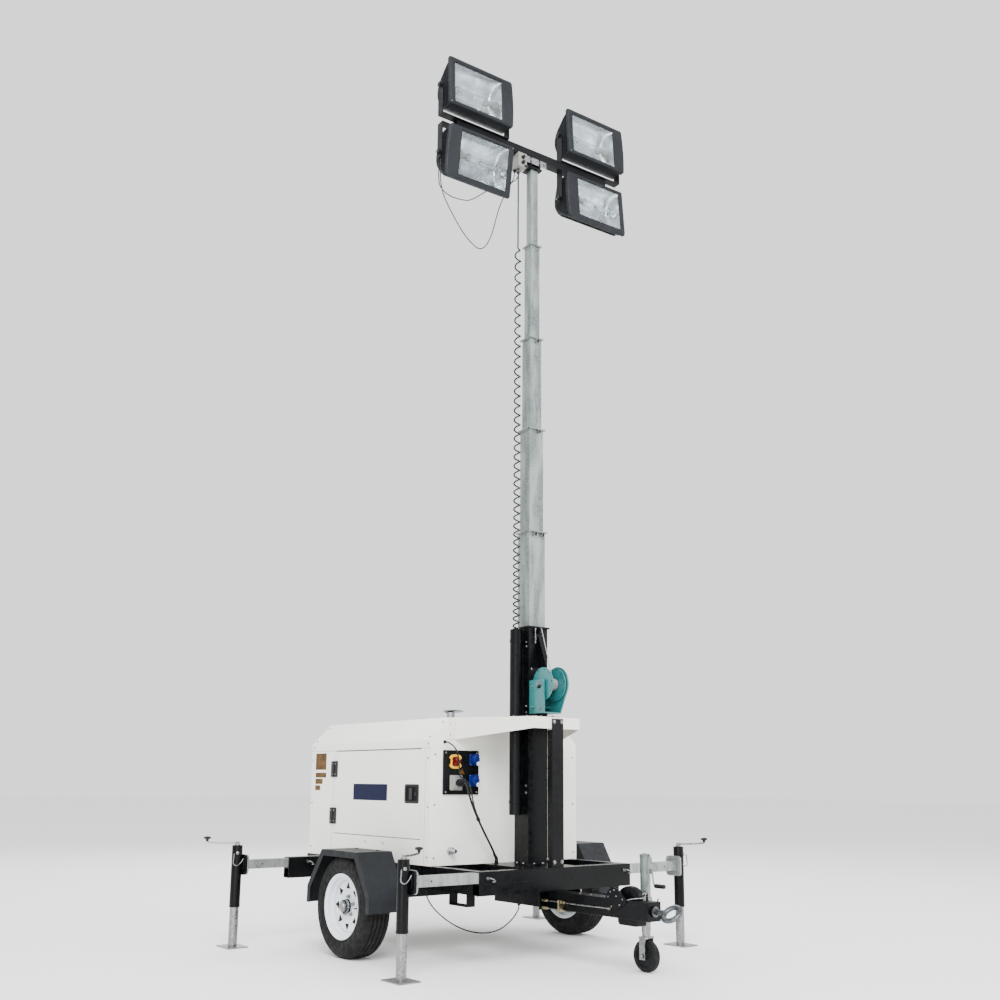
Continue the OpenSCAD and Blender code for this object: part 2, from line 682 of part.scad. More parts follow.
// Winch on the mast's front: a left cheek, a right cheek with a round guard, and the drum between them
winch_x = 194;
winch_z = 1675;
winch_low = 1490;
winch_deep = 150;      // depth of its base plate
winch_half = 70;       // half its width over the cheeks
cheek_t = 8;
cheek_top = 1703;
guard_r = 112;
flange_r = 105;
shaft_r = 12;
module winch_frame() {
    w = base_w / 2;
    x0 = w + seat;
    color("teal") on_mast() difference() {
        union() {
            span([x0, -winch_half, winch_low], [w + winch_deep + 6, cheek_t - winch_half, cheek_top]);
            slab_y(winch_half - cheek_t, winch_half) polygon([[x0, winch_low], [x0, cheek_top],
                [winch_x, winch_z + 60], [winch_x + guard_r - 8, winch_z - 40], [w + winch_deep, winch_low]]);
            rod_y(winch_x, winch_z, winch_half - cheek_t, winch_half, guard_r);
            span([x0, -winch_half, winch_low], [w + winch_deep, winch_half, winch_low + cheek_t]);
            span([x0, -winch_half, winch_low], [w + cheek_t, winch_half, cheek_top]);
            rod_y(w + 45, winch_low + 42, -winch_half - 12, winch_half + 12, 9);
        }
        rod_y(winch_x, winch_z, -winch_half - 10, winch_half + 10, shaft_r + 0.4);
    }
}

module winch_drum() {
    color(STEEL) on_mast() {
        rod_y(winch_x, winch_z, -winch_half - 20, winch_half + 20, shaft_r);
        rod_y(winch_x, winch_z, -50, 50, 34);
        for (s = [-1, 1]) rod_y(winch_x, winch_z, s * 46, s * 52, flange_r);
    }
}

// Sections: outer width and height of the top, as parked
SECTIONS = [
    [sec1_w, base_top + sec1_up],
    [sec2_w, base_top + sec1_up + sec2_up],
    [sec3_w, base_top + sec1_up + sec2_up + sec3_up],
    [sec4_w, base_top + sec1_up + sec2_up + sec3_up + sec4_up],
    [sec5_w, base_top + sec1_up + sec2_up + sec3_up + sec4_up + sec5_up]];

// Opening of a collar's slide pads round the next section of width w
module guide(w, top) {
    h = w / 2 + slide_gap;
    span([-h, -h, top - pad_h - 1], [h, h, top + 1]);
}

module section(k) {
    w = SECTIONS[k][0] / 2;
    top = SECTIONS[k][1];
    out = w + collar_out;
    color(STEEL) on_mast() difference() {
        union() {
            span([-w, -w, top - sec_len], [w, w, top]);
            if (k < 4) span([-out, -out, top - collar_h], [out, out, top]);
        }
        span([-w + sec_wall, -w + sec_wall, top - sec_len - 1], [w - sec_wall, w - sec_wall, top - (k < 4 ? pad_h : -1)]);
        if (k < 4) guide(SECTIONS[k + 1][0], top);
    }
}
module mast_section_1() { section(0); }
module mast_section_2() { section(1); }
module mast_section_3() { section(2); }
module mast_section_4() { section(3); }
module mast_section_5() { section(4); }

mast_top = SECTIONS[4][1];
// Lamps: name, side, row, tilt at rest in degrees (positive looks down)
LAMPS = [
    ["upper_right", -1, 1, -3],
    ["lower_right", -1, -1, 8],
    ["upper_left", 1, 1, -4],
    ["lower_left", 1, -1, -5]];
yoke_w = 60;
yoke_t = 6;
yoke_gap = 12;
pivot_x = 15;
module yoke(l) {
    y = l[1] * lamp_y;
    z = bar_z + l[2] * pivot_up;
    half = lamp_w / 2 + yoke_gap;
    foot = bar_z + l[2] * bar_h / 2;
    span([pivot_x - yoke_w / 2, y - half - yoke_t, foot], [pivot_x + yoke_w / 2, y + half + yoke_t, foot + l[2] * yoke_t]);
    for (s = [-1, 1]) difference() {
        union() {
            span([pivot_x - yoke_w / 2, y + s * half, foot], [pivot_x + yoke_w / 2, y + s * (half + yoke_t), z]);
            rod_y(pivot_x, z, y + s * half, y + s * (half + yoke_t), yoke_w / 2);
        }
        rod_y(pivot_x, z, y + s * (half - 2), y + s * (half + yoke_t + 2), 10.4);
    }
}

bar_len = 2 * (lamp_y + 150);
// Clip of the lamp leads, under the outer strap of the lower right yoke
LEAD_CLIP_Y = 780;
LEAD_CLIP_Z = 5176;
module light_bar() {
    color(GREY) on_mast() {
        difference() {
            union() {
                span([-bar_d / 2, -bar_len / 2, bar_z - bar_h / 2], [bar_d / 2, bar_len / 2, bar_z + bar_h / 2]);
                for (l = LAMPS) yoke(l);
                span([-52, -52, mast_top + seat], [52, 52, mast_top + 8]);
                for (s = [-1, 1]) span([-40, s * 34, mast_top + 6], [40, s * 42, bar_z - bar_h / 2 + 1]);
                span([-5, -LEAD_CLIP_Y - 6, LEAD_CLIP_Z], [35, 6 - LEAD_CLIP_Y, LEAD_CLIP_Z + 20]);
            }
            span([-bar_d / 2 + 4, -bar_len / 2 - 1, bar_z - bar_h / 2 + 4], [bar_d / 2 - 4, bar_len / 2 + 1, bar_z + bar_h / 2 - 4]);
        }
    }
}

head_y = can_y + 6;
head_z = 5315;
module head_box() {
    color("#9a9b97") on_mast() {
        span([-45, head_y - 36, head_z + 18], [45, head_y + 36, bar_z - bar_h / 2 - seat]);
        translate([0, can_y, head_z]) cylinder(r = 11, h = 20);
        for (z = [head_z + 48, head_z + 88]) rod_x(head_y, z, 44, 64, 11);
        for (y = [-134, -104]) translate([-28, y, head_z + 2]) cylinder(r = 8, h = 18);
    }
}

// Side profile of a lamp's housing behind its face, x and z from the pivot, for an upper lamp
module lamp_profile(d) {
    f = lamp_front;
    h = lamp_h / 2;
    polygon([[f - 28, -h + 8 + d], [f - 28, h - 8 - d], [f - 70, h - 30 - d], [-62 + d * 0.5, 78 - d], [-96 + d, 8],
        [-96 + d, -58], [-62 + d * 0.5, -116 + d], [0, -150 + d], [f - 60, -h + 14 + d]]);
}
// Margins of the glass: narrow side, broad side, lower, upper
glass_m = [36, 86, 20, 30];
lamp_wall = 5;
module lamp_shape(l) {
    h = lamp_h / 2;
    w = lamp_w / 2;
    f = lamp_front;
    y = l[1] * lamp_y;
    z = bar_z + l[2] * pivot_up;
    color(GREY) on_mast() translate([pivot_x, y, z]) rotate([0, l[3], 0]) rotate([l[2] > 0 ? 0 : 180, 0, 0]) {
        difference() {
            union() {
                slab_y(-w + 12, w - 12) lamp_profile(0);
                slab_x(f - 32, f) round_square(lamp_w, lamp_h, 14);
                rod_y(0, 0, -w - yoke_gap - yoke_t - 16, w + yoke_gap + yoke_t + 16, 10);
            }
            slab_y(-w + 12 + lamp_wall, w - 12 - lamp_wall - 50) lamp_profile(lamp_wall);
            span([f - 40, -w + glass_m[0], -h + glass_m[2]], [f + 1, w - glass_m[1], h - glass_m[3]]);
            // seat of the glass
            span([f - 8, -w + glass_m[0] - 8, -h + glass_m[2] - 6], [f - 3.5, w - glass_m[1] + 8, h - glass_m[3] + 6]);
        }
        // knobs outside the yoke
        for (s = [-1, 1]) rod_y(0, 0, s * (w + yoke_gap + yoke_t + 0.4), s * (w + yoke_gap + yoke_t + 20), 17);
        // lamp tube, held by both side walls
        rod_y(10, -40, -w + 14, w - 60, 22);
    }
}
module lamp_upper_right() { lamp_shape(LAMPS[0]); }
module lamp_lower_right() { lamp_shape(LAMPS[1]); }
module lamp_upper_left() { lamp_shape(LAMPS[2]); }
module lamp_lower_left() { lamp_shape(LAMPS[3]); }

module glass_shape(l) {
    h = lamp_h / 2;
    w = lamp_w / 2;
    f = lamp_front;
    color("lightblue", 0.4) on_mast() translate([pivot_x, l[1] * lamp_y, bar_z + l[2] * pivot_up])
        rotate([0, l[3], 0]) rotate([l[2] > 0 ? 0 : 180, 0, 0])
        span([f - 7.8, -w + glass_m[0] - 7.5, -h + glass_m[2] - 5.5], [f - 3.8, w - glass_m[1] + 7.5, h - glass_m[3] + 5.5]);
}
module glass_upper_right() { glass_shape(LAMPS[0]); }
module glass_lower_right() { glass_shape(LAMPS[1]); }
module glass_upper_left() { glass_shape(LAMPS[2]); }
module glass_lower_left() { glass_shape(LAMPS[3]); }

// The curly cord stands as one round column, and its upper end runs straight to the head box
cord_r = 25;
curl_top = 4780;
module spiral_cord() {
    color("#222426") on_mast() translate([0, can_y, 0]) {
        translate([0, 0, can_top - 100]) cylinder(r = cord_r, h = curl_top - can_top + 100);
        translate([0, 0, curl_top - 5]) cylinder(r = 4.5, h = head_z - curl_top + 5 - seat);
    }
}

// A tube of 8 sides swept along points, one closed polyhedron
function unit(v) = v / norm(v);
function side(t) = unit(cross(t, abs(t[1]) > 0.9 ? [1, 0, 0] : [0, 1, 0]));
module tube(pts, r) {
    n = len(pts);
    k = 8;
    tang = [for (i = [0:n - 1]) unit(pts[min(i + 1, n - 1)] - pts[max(i - 1, 0)])];
    rings = [for (i = [0:n - 1]) let (a = side(tang[i]), b = cross(tang[i], a))
        for (j = [0:k - 1]) pts[i] + r * (a * cos(j * 360 / k) + b * sin(j * 360 / k))];
    faces = concat([[for (j = [0:k - 1]) j]],
        [for (i = [0:n - 2]) for (j = [0:k - 1]) [i * k + j, (i + 1) * k + j, (i + 1) * k + (j + 1) % k, i * k + (j + 1) % k]],
        [[for (j = [k - 1:-1:0]) (n - 1) * k + j]]);
    polyhedron(rings, faces);
}

// Lead of the flap socket's plug, down the front wall to the chassis
lead_r = 7;
LEAD = [[92, -430, 1056], [106, -430, 1056], [115, -426, 1043], [119, -421, 1026], [120, -412, 1000],
    [119, -400, 970], [117, -384, 935], [113, -364, 900], [108, -340, 862], [102, -314, 825], [95, -287, 788],
    [88, -259, 752], [80, -231, 718], [72, -204, 686], [64, -179, 656], [57, -157, 628], [52, -141, 603],
    [48, -126, 586], [48, -125.5, 568.6]];
module panel_lead() {
    color("#26282a") tube(LEAD, lead_r);
}

// Brake lead that hangs under the frame, from the right rail to the drawbar's underside
brake_lead_r = 4;
BRAKE_LEAD = [[-60, -590, 403.6], [-60, -590, 385], [-56, -580, 352], [-44, -556, 310], [-24, -520, 268],
    [2, -478, 228], [32, -430, 194], [66, -378, 168], [98, -324, 153], [128, -270, 150], [150, -216, 158],
    [164, -164, 178], [171, -116, 208], [171, -76, 240], [166, -48, 266], [161, -33, 284], [160, -31, 299.5]];
module underbody_lead() {
    color("#26282a") tube(BRAKE_LEAD, brake_lead_r);
}

// Leads of the two right-hand lamps, from the yoke's clip to the head box
lamp_lead_r = 3.5;
LONG_LEAD = [[201.4, -779.5, 5175.6], [201.4, -779.5, 5155], [201.4, -779.5, 5120], [201.4, -778.5, 5060],
    [201.6, -772, 4988], [203, -745, 4900], [206, -683, 4805], [208, -606, 4710], [208, -520, 4642],
    [200, -440, 4625], [185, -370, 4680], [170, -310, 4790], [157, -265, 4920], [150, -228, 5030],
    [155, -193, 5120], [168, -162, 5195], [186, -140, 5250], [200.3, -131.3, 5295], [200.3, -131.3, 5316.6]];
SHORT_LEAD = [[181.4, -777.9, 5175.6], [181.4, -777.9, 5150], [181.2, -777.5, 5090], [181, -776, 5030],
    [181, -767, 4985], [178, -730, 4955], [170, -665, 4945], [155, -590, 4960], [125, -520, 4990],
    [85, -455, 5030], [45, -390, 5080], [15, -325, 5135], [5, -265, 5190], [15, -215, 5232], [55, -165, 5258],
    [105, -130, 5266], [152, -112, 5270], [188, -103, 5281], [202.7, -101.4, 5303], [202.7, -101.4, 5316.6]];
module lamp_lead_long() {
    color("#26282a") tube(LONG_LEAD, lamp_lead_r);
}
module lamp_lead_short() {
    color("#26282a") tube(SHORT_LEAD, lamp_lead_r);
}

module lead_plug() {
    color("#3a3d40") translate([0, SOCKETS[2][0], SOCKETS[2][1]]) {
        rod_x(0, 0, 12 + SOCKETS[2][3] + seat, 80, 24);
        rod_x(0, 0, 79, 91.7, 13);
    }
}

chassis();
drawbar();
tow_eye();
handbrake();
axle();
fenders();
canopy();
roof();
engine_block();
control_panel();
exhaust();
door_right();
door_left();
shelf();
front_brace();
tyre_right();
tyre_left();
rim_right();
rim_left();
jockey_tube();
jockey_stem();
jockey_fork();
jockey_wheel();
arm_front_right();
arm_front_left();
arm_rear_right();
arm_rear_left();
jack_front_right();
jack_front_left();
jack_rear_right();
jack_rear_left();
leg_front_right();
leg_front_left();
leg_rear_right();
leg_rear_left();
mast_base();
winch_frame();
winch_drum();
mast_section_1();
mast_section_2();
mast_section_3();
mast_section_4();
mast_section_5();
light_bar();
head_box();
spiral_cord();
lamp_upper_right();
lamp_lower_right();
lamp_upper_left();
lamp_lower_left();
glass_upper_right();
glass_lower_right();
glass_upper_left();
glass_lower_left();
panel_lead();
lead_plug();
underbody_lead();
lamp_lead_long();
lamp_lead_short();
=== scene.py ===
import bpy
import bmesh
import json
import math
import numpy as np
from mathutils import Matrix, Vector


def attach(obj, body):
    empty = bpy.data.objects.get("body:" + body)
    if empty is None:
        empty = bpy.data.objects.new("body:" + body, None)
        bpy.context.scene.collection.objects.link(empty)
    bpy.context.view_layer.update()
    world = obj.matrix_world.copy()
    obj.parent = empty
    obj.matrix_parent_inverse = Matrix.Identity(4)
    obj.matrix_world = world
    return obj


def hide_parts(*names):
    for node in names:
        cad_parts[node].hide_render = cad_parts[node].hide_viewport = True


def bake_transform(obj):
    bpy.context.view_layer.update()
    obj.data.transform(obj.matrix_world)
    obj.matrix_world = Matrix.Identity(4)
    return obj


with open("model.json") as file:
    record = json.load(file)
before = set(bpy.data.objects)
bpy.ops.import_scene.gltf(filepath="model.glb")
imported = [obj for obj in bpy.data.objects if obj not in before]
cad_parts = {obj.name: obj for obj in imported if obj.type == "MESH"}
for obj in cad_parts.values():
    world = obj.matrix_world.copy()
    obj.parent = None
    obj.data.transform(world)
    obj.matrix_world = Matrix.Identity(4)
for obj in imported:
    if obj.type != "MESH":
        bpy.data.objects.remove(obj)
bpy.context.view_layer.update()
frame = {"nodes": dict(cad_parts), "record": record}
MM = 0.001
FORWARD = (1, 0, 0)
LEFT = (0, 1, 0)
RIGHT = (0, -1, 0)
UP = np.array([0.0, 0.0, 1.0])

# Camera: placed where the photograph was taken from, tipped up, with a small lens shift
CAM_AT = (5.567, -4.591, 1.066)
CAM_YAW = 140.95
CAM_PITCH = 11.097
CAM_ROLL = 0.441
CAM_LENS = 38.81
CAM_SENSOR = 36
CAM_SHIFT = 0.07


def link(name, data):
    """A new object of the scene that holds the data."""
    made = bpy.data.objects.new(name, data)
    bpy.context.collection.objects.link(made)
    return made


def make_camera():
    """The lens looks along (cos yaw cos pitch, sin yaw cos pitch, sin pitch), rolled about that line."""
    cam = link("camera", bpy.data.cameras.new("camera"))
    cam.data.lens = CAM_LENS
    cam.data.sensor_width = CAM_SENSOR
    cam.data.shift_y = CAM_SHIFT
    yaw = math.radians(CAM_YAW)
    pitch = math.radians(CAM_PITCH)
    ahead = Vector((math.cos(yaw) * math.cos(pitch), math.sin(yaw) * math.cos(pitch), math.sin(pitch)))
    turn = ahead.to_track_quat("-Z", "Y").to_matrix().to_4x4()
    roll = Matrix.Rotation(math.radians(CAM_ROLL), 4, "Z")
    cam.matrix_world = Matrix.Translation(CAM_AT) @ turn @ roll
    bpy.context.scene.camera = cam


def make_light(name, at, aim, size, watts):
    """A square soft box of the given size that faces the point aim."""
    lamp = link(name, bpy.data.lights.new(name, "AREA"))
    lamp.data.size = size
    lamp.data.energy = watts
    lamp.location = at
    lamp.rotation_euler = (Vector(aim) - Vector(at)).to_track_quat("-Z", "Y").to_euler()


make_camera()
make_light("key_box", (7.5, -6.0, 8.5), (0, 0, 2.6), 6.0, 2100)
make_light("fill_box", (5.5, 6.5, 5.0), (0, 0, 2.2), 6.0, 350)
make_light("back_box", (-7.5, 3.0, 7.5), (0, 0, 2.6), 5.0, 700)
make_light("low_box", (4.5, -6.5, 1.2), (0.2, 0, 1.0), 3.0, 130)


def linear(hexa):
    """A sRGB hex colour as linear light: ((c + 0.055) / 1.055) ** 2.4, or c / 12.92 when dark."""
    parts = [int(hexa[i:i + 2], 16) / 255 for i in (1, 3, 5)]
    return [c / 12.92 if c <= 0.04045 else ((c + 0.055) / 1.055) ** 2.4 for c in parts] + [1.0]


class Finish:
    """A material in the making: constants first, which the methods then vary over the surface."""

    def __init__(self, name, hexa, rough, metal=0.0, **more):
        """Sets the shader's constants; more holds further sockets by name."""
        self.material = bpy.data.materials.new(name)
        self.material.use_nodes = True
        self.material.diffuse_color = linear(hexa)
        self.tree = self.material.node_tree
        self.inputs = self.tree.nodes["Principled BSDF"].inputs
        constants = {"Base Color": linear(hexa), "Roughness": rough, "Metallic": metal, **more}
        for key, value in constants.items():
            self.inputs[key.replace("_", " ")].default_value = value
        self.place = self.add("TexCoord").outputs["Object"]

    def add(self, kind, inputs=None, **settings):
        """A node with its settings, and its inputs set to values or linked to sockets."""
        made = self.tree.nodes.new("ShaderNode" + kind)
        for key, value in settings.items():
            setattr(made, key, value)
        for key, value in (inputs or {}).items():
            if isinstance(value, bpy.types.NodeSocket):
                self.tree.links.new(value, made.inputs[key])
            else:
                made.inputs[key].default_value = value
        return made

    def noise(self, size_mm, detail, place=None):
        """Noise whose blotches are size_mm across. Its value runs from 0 to 1."""
        at = self.place if place is None else place
        return self.add("TexNoise", {"Vector": at, "Scale": 1000 / size_mm, "Detail": detail}).outputs["Fac"]

    def cells(self, size_mm, feature):
        """Voronoi cells size_mm across."""
        return self.add("TexVoronoi", {"Vector": self.place, "Scale": 1000 / size_mm},
                        feature=feature).outputs

    def math(self, operation, first, second=0.0):
        """One step of arithmetic on sockets or numbers."""
        return self.add("Math", {0: first, 1: second}, operation=operation).outputs[0]

    def spread(self, value, low=0.0, high=1.0, at=(0.35, 0.65)):
        """Maps a value that runs between the two marks to low and high."""
        keys = {"Value": value, "From Min": at[0], "From Max": at[1], "To Min": low, "To Max": high}
        return self.add("MapRange", keys).outputs["Result"]

    def blend(self, share, first, second):
        """first where share is 0 and second where it is 1. Each is a hex colour or a socket."""
        first, second = [linear(c) if isinstance(c, str) else c for c in (first, second)]
        return self.add("Mix", {"Factor": share, 6: first, 7: second}, data_type="RGBA").outputs[2]

    def tint(self, share, first, second):
        """Gives the base colour a blend of two."""
        self.tree.links.new(self.blend(share, first, second), self.inputs["Base Color"])

    def dull(self, value, low, high, at=(0.35, 0.65)):
        """Lets the roughness run from low to high with a value."""
        self.tree.links.new(self.spread(value, low, high, at), self.inputs["Roughness"])

    def bump(self, height, depth_mm, strength):
        """Raises the surface by depth_mm where height is 1."""
        keys = {"Height": height, "Distance": depth_mm * MM, "Strength": strength}
        self.tree.links.new(self.add("Bump", keys).outputs["Normal"], self.inputs["Normal"])


def powder_coat(name, hexa, lit, rough, grain_mm=2.2, shine=0.5):
    """Polyester powder, sprayed and baked: an orange-peel skin, a little dust and paler rubbed patches."""
    made = Finish(name, hexa, rough, Specular_IOR_Level=shine)
    made.tint(made.spread(made.noise(260, 5)), hexa, lit)
    made.dull(made.noise(35, 4), rough - 0.07, rough + 0.1)
    made.bump(made.noise(grain_mm, 2), 0.12, 0.35)
    return made.material


def panel_paint(name, hexa, lit, rough, coat=0.0):
    """Gloss paint on sheet: the sheet's slow waves show in its reflections."""
    made = Finish(name, hexa, rough, Coat_Weight=coat, Coat_Roughness=0.12)
    made.tint(made.spread(made.noise(420, 4)), hexa, lit)
    made.dull(made.noise(60, 4), rough - 0.05, rough + 0.07)
    made.bump(made.noise(190, 1), 0.5, 0.25)
    return made.material


def galvanised(name, hexa, lit, chalk):
    """Hot-dipped zinc: crystals of a few tones each, a chalky bloom over them, and dull streaks."""
    made = Finish(name, hexa, 0.45, 0.72)
    tone = made.add("SeparateColor", {"Color": made.cells(11, "F1")["Color"]}).outputs["Red"]
    crystal = made.blend(made.spread(tone, at=(0.0, 1.0)), hexa, lit)
    stretched = made.add("Mapping", {"Vector": made.place, "Scale": (1.0, 1.0, 0.18)}).outputs["Vector"]
    made.tint(made.spread(made.noise(55, 6, stretched), 0.0, 0.8, (0.42, 0.62)), crystal, chalk)
    made.dull(tone, 0.36, 0.58, (0.0, 1.0))
    made.bump(made.noise(6, 3), 0.15, 0.3)
    return made.material


def plated(name, hexa, rough, lit):
    """Electroplated or polished metal: even, bright, with fine handling marks."""
    made = Finish(name, hexa, rough, 1.0)
    marks = made.noise(16, 6)
    made.tint(made.spread(marks, 0.0, 0.7), hexa, lit)
    made.dull(marks, rough - 0.08, rough + 0.16)
    made.bump(made.noise(3, 2), 0.05, 0.3)
    return made.material


def moulded(name, hexa, rough, lit=None, shine=0.5):
    """Injection-moulded plastic or rubber: one colour, a fine spark-eroded grain."""
    made = Finish(name, hexa, rough, Specular_IOR_Level=shine)
    if lit:
        made.tint(made.spread(made.noise(45, 5)), hexa, lit)
    made.dull(made.noise(20, 4), rough - 0.06, rough + 0.1)
    made.bump(made.noise(0.9, 2), 0.06, 0.3)
    return made.material


def laid_rope(name, hexa, lit, pitch_mm, metal):
    """Strands laid round a core: bands sin(2 pi (3 turn + length / pitch)), from the surface's own UV map,
    with the crests painted lighter and the grooves darker as painted highlight and shade.
    """
    made = Finish(name, hexa, 0.42, metal)
    parts = made.add("SeparateXYZ", {"Vector": made.add("UVMap", uv_map="lay").outputs["UV"]}).outputs
    turn = made.math("MULTIPLY", parts["Y"], 3.0)
    along = made.math("MULTIPLY", parts["X"], 1000 / pitch_mm)
    wave = made.math("MULTIPLY", made.math("ADD", turn, along), 2 * math.pi)
    ridge = made.math("SINE", wave)
    # Painted highlight and shade: the strands' crests lighter, the grooves between them darker
    made.tint(made.spread(ridge, at=(-1.0, 1.0)), hexa, lit)
    made.bump(ridge, 0.6, 0.8)
    return made.material


def tyre_rubber():
    """Carbon-black rubber: dull, greyer with road dust in blotches, with a fine mould grain."""
    made = Finish("tyre_rubber", "#060607", 0.74, Specular_IOR_Level=0.25)
    made.tint(made.spread(made.noise(110, 6), 0.0, 0.4), "#060607", "#141312")
    made.dull(made.noise(30, 4), 0.62, 0.9)
    made.bump(made.noise(1.6, 3), 0.15, 0.4)
    return made.material


def clear_glass(name, hexa, rough):
    """Toughened clear glass: all light passes, with a few dusty patches that dull its gloss."""
    made = Finish(name, hexa, rough, Transmission_Weight=1.0, IOR=1.5)
    made.dull(made.noise(90, 5), rough, rough + 0.1)
    return made.material


def reflector_sheet():
    """Bright anodised aluminium, hammered: dimples a few millimetres across break up what it mirrors."""
    made = Finish("bright_anodised_reflector", "#d9dde0", 0.2, 1.0)
    made.bump(made.cells(9, "SMOOTH_F1")["Distance"], 1.6, 0.7)
    haze = made.noise(80, 5)
    made.dull(haze, 0.14, 0.34)
    made.tint(made.spread(haze), "#e4e7e9", "#b9bec2")
    return made.material


# Finishes, each named for what the real one is, save one near-black that is painted shade
BLACK_COAT = powder_coat("black_powder_coat", "#030405", "#07080a", 0.32, shine=0.14)
FENDER_COAT = powder_coat("charcoal_texture_coat", "#111316", "#181b1f", 0.52, 3.0, shine=0.2)
LAMP_COAT = powder_coat("lamp_casting_coat", "#14161a", "#1c1f23", 0.56, 1.6, shine=0.2)
# Painted shade: a near-black coat for the dark plates and faces that stand in for shade in holes, slots,
# seams, vents and pockets
PAINTED_SHADE_BLACK = powder_coat("painted_shade_coat", "#050607", "#0a0b0c", 0.6, 1.6, shine=0.15)
BAR_COAT = powder_coat("light_bar_coat", "#090a0d", "#0f1114", 0.42, shine=0.15)
WHITE_PAINT = panel_paint("white_panel_paint", "#efeee6", "#e9e8df", 0.34)
SHELF_PAINT = panel_paint("white_shelf_paint", "#e6e5dc", "#dedcd2", 0.4)
RIM_PAINT = panel_paint("white_wheel_paint", "#dfe5ea", "#cfd7de", 0.28, 0.3)
TEAL_PAINT = panel_paint("teal_winch_paint", "#226c6d", "#1b5a5c", 0.26, 0.5)
ZINC = galvanised("hot_dip_galvanised", "#5d6664", "#7a8381", "#959e9b")
PALE_ZINC = galvanised("fresh_galvanised_arm", "#6f7473", "#8e9391", "#a5a9a6")
BRIGHT_ZINC = plated("bright_zinc_plate", "#77777a", 0.3, "#a3a4a2")
DULL_STEEL = plated("machined_steel", "#8d8f91", 0.38, "#a9abad")
BRASS = plated("yellow_passivated_zinc", "#8a8064", 0.34, "#b0a684")
FORGED_STEEL = plated("forged_steel", "#4b4f53", 0.34, "#6c7074")
CAST_IRON = powder_coat("engine_castings", "#2a2c2e", "#3a3c3d", 0.6, 4.0)
RUBBER = moulded("black_moulded_rubber", "#08090a", 0.66, "#101113", shine=0.25)
CABLE_SKIN = moulded("black_cable_sheath", "#070809", 0.42, "#0e0f10", shine=0.3)
BLACK_PLASTIC = moulded("black_moulded_plastic", "#08090a", 0.38, "#0f1012", shine=0.3)
GREY_PLASTIC = moulded("grey_box_plastic", "#85857f", 0.48, "#74746f")
SMOKE_PLASTIC = moulded("smoke_flap_plastic", "#6b6f74", 0.25, "#8d9196")
BLUE_PLASTIC = moulded("blue_socket_plastic", "#051452", 0.35, "#081b66", shine=0.2)
WHITE_PLASTIC = moulded("white_lens_plastic", "#d8dde2", 0.3)
YELLOW_PLASTIC = moulded("yellow_plate_plastic", "#d39a12", 0.4, "#dfa91c")
RED_PLASTIC = moulded("red_knob_plastic", "#560a0c", 0.34, "#68110c", shine=0.25)
NAVY_FILM = moulded("navy_blank_film", "#04082c", 0.34, shine=0.12)
AMBER_FILM = moulded("amber_blank_film", "#5e4113", 0.4, "#40290c", shine=0.2)
CERAMIC = moulded("lamp_base_ceramic", "#8b8984", 0.4)
TYRE = tyre_rubber()
GLASS = clear_glass("toughened_glass", "#f4f8fa", 0.03)
REFLECTOR = reflector_sheet()
STEEL_ROPE = laid_rope("laid_steel_rope", "#6f7374", "#b5b8b8", 9.0, 0.9)


# Surfaces: every function below returns (points, faces)
def skin(rings, lids=True, loop=False):
    """Quads between neighbouring outlines of an (n, k, 3) array.

    It has flat lids, or with loop its last outline is joined to the first.
    """
    rings = np.asarray(rings, float)
    n, k = rings.shape[:2]
    first = np.arange(n if loop else n - 1)[:, None]
    step = np.arange(k)[None, :]
    here, ahead = first * k, ((first + 1) % n) * k
    quads = np.stack([here + step, here + (step + 1) % k, ahead + (step + 1) % k, ahead + step], -1)
    faces = quads.reshape(-1, 4).tolist()
    if lids and not loop:
        faces += [list(range(k))[::-1], list(range((n - 1) * k, n * k))]
    return rings.reshape(-1, 3), faces


def join(*shapes):
    """Several surfaces as one."""
    points, faces, count = [], [], 0
    for p, f in shapes:
        points.append(np.asarray(p, float))
        faces += [[i + count for i in face] for face in f]
        count += len(p)
    return np.concatenate(points), faces


def shift(shape, dx=0.0, dy=0.0, dz=0.0):
    """The surface moved by a distance."""
    return shape[0] + np.array([dx, dy, dz]), shape[1]


def lay(shape, at, x=(1, 0, 0), y=(0, 1, 0), z=(0, 0, 1)):
    """The surface set down in a frame: at + a x + b y + c z."""
    axes = np.array([x, y, z], float)
    points = np.asarray(at, float) + shape[0] @ axes
    faces = shape[1] if np.linalg.det(axes) > 0 else [f[::-1] for f in shape[1]]
    return points, faces


def facing(shape, at, way, spin=0.0):
    """The surface set down with its own z along way, turned by spin degrees about it."""
    z = np.array(way, float)
    z = z / np.linalg.norm(z)
    side = np.cross([0, 0, 1.0] if abs(z[2]) < 0.9 else [1.0, 0, 0], z)
    side = side / np.linalg.norm(side)
    up = np.cross(z, side)
    a = math.radians(spin)
    return lay(shape, at, side * math.cos(a) + up * math.sin(a), up * math.cos(a) - side * math.sin(a), z)


def outline_box(w, h, r=0.0, steps=5):
    """A w by h rectangle round the origin whose corners are arcs of radius r."""
    r = max(min(r, w / 2 - 1e-5, h / 2 - 1e-5), 1e-5)
    arc = np.linspace(0, math.pi / 2, steps)
    parts = []
    for i, (sx, sy) in enumerate(((1, 1), (-1, 1), (-1, -1), (1, -1))):
        a = arc + i * math.pi / 2
        parts.append(np.stack([sx * (w / 2 - r) + r * np.cos(a), sy * (h / 2 - r) + r * np.sin(a)], -1))
    return np.concatenate(parts)


def angles(k):
    """k angles that go once round."""
    return np.arange(k) * 2 * math.pi / k


def polar(r, a, at=(0.0, 0.0), flat=1.0):
    """Points at the angles a and distances r round a point, squeezed by flat along the second axis."""
    return np.stack([at[0] + r * np.cos(a), at[1] + r * flat * np.sin(a)], -1)


def round_y(line, r, a, y=0.0):
    """Points at the angle a and distance r from a line along y."""
    return np.stack([line[0] + r * np.cos(a), y + 0 * a, line[2] + r * np.sin(a)], -1)


def outline_disc(r, k):
    """k points on a circle."""
    return polar(r, angles(k))


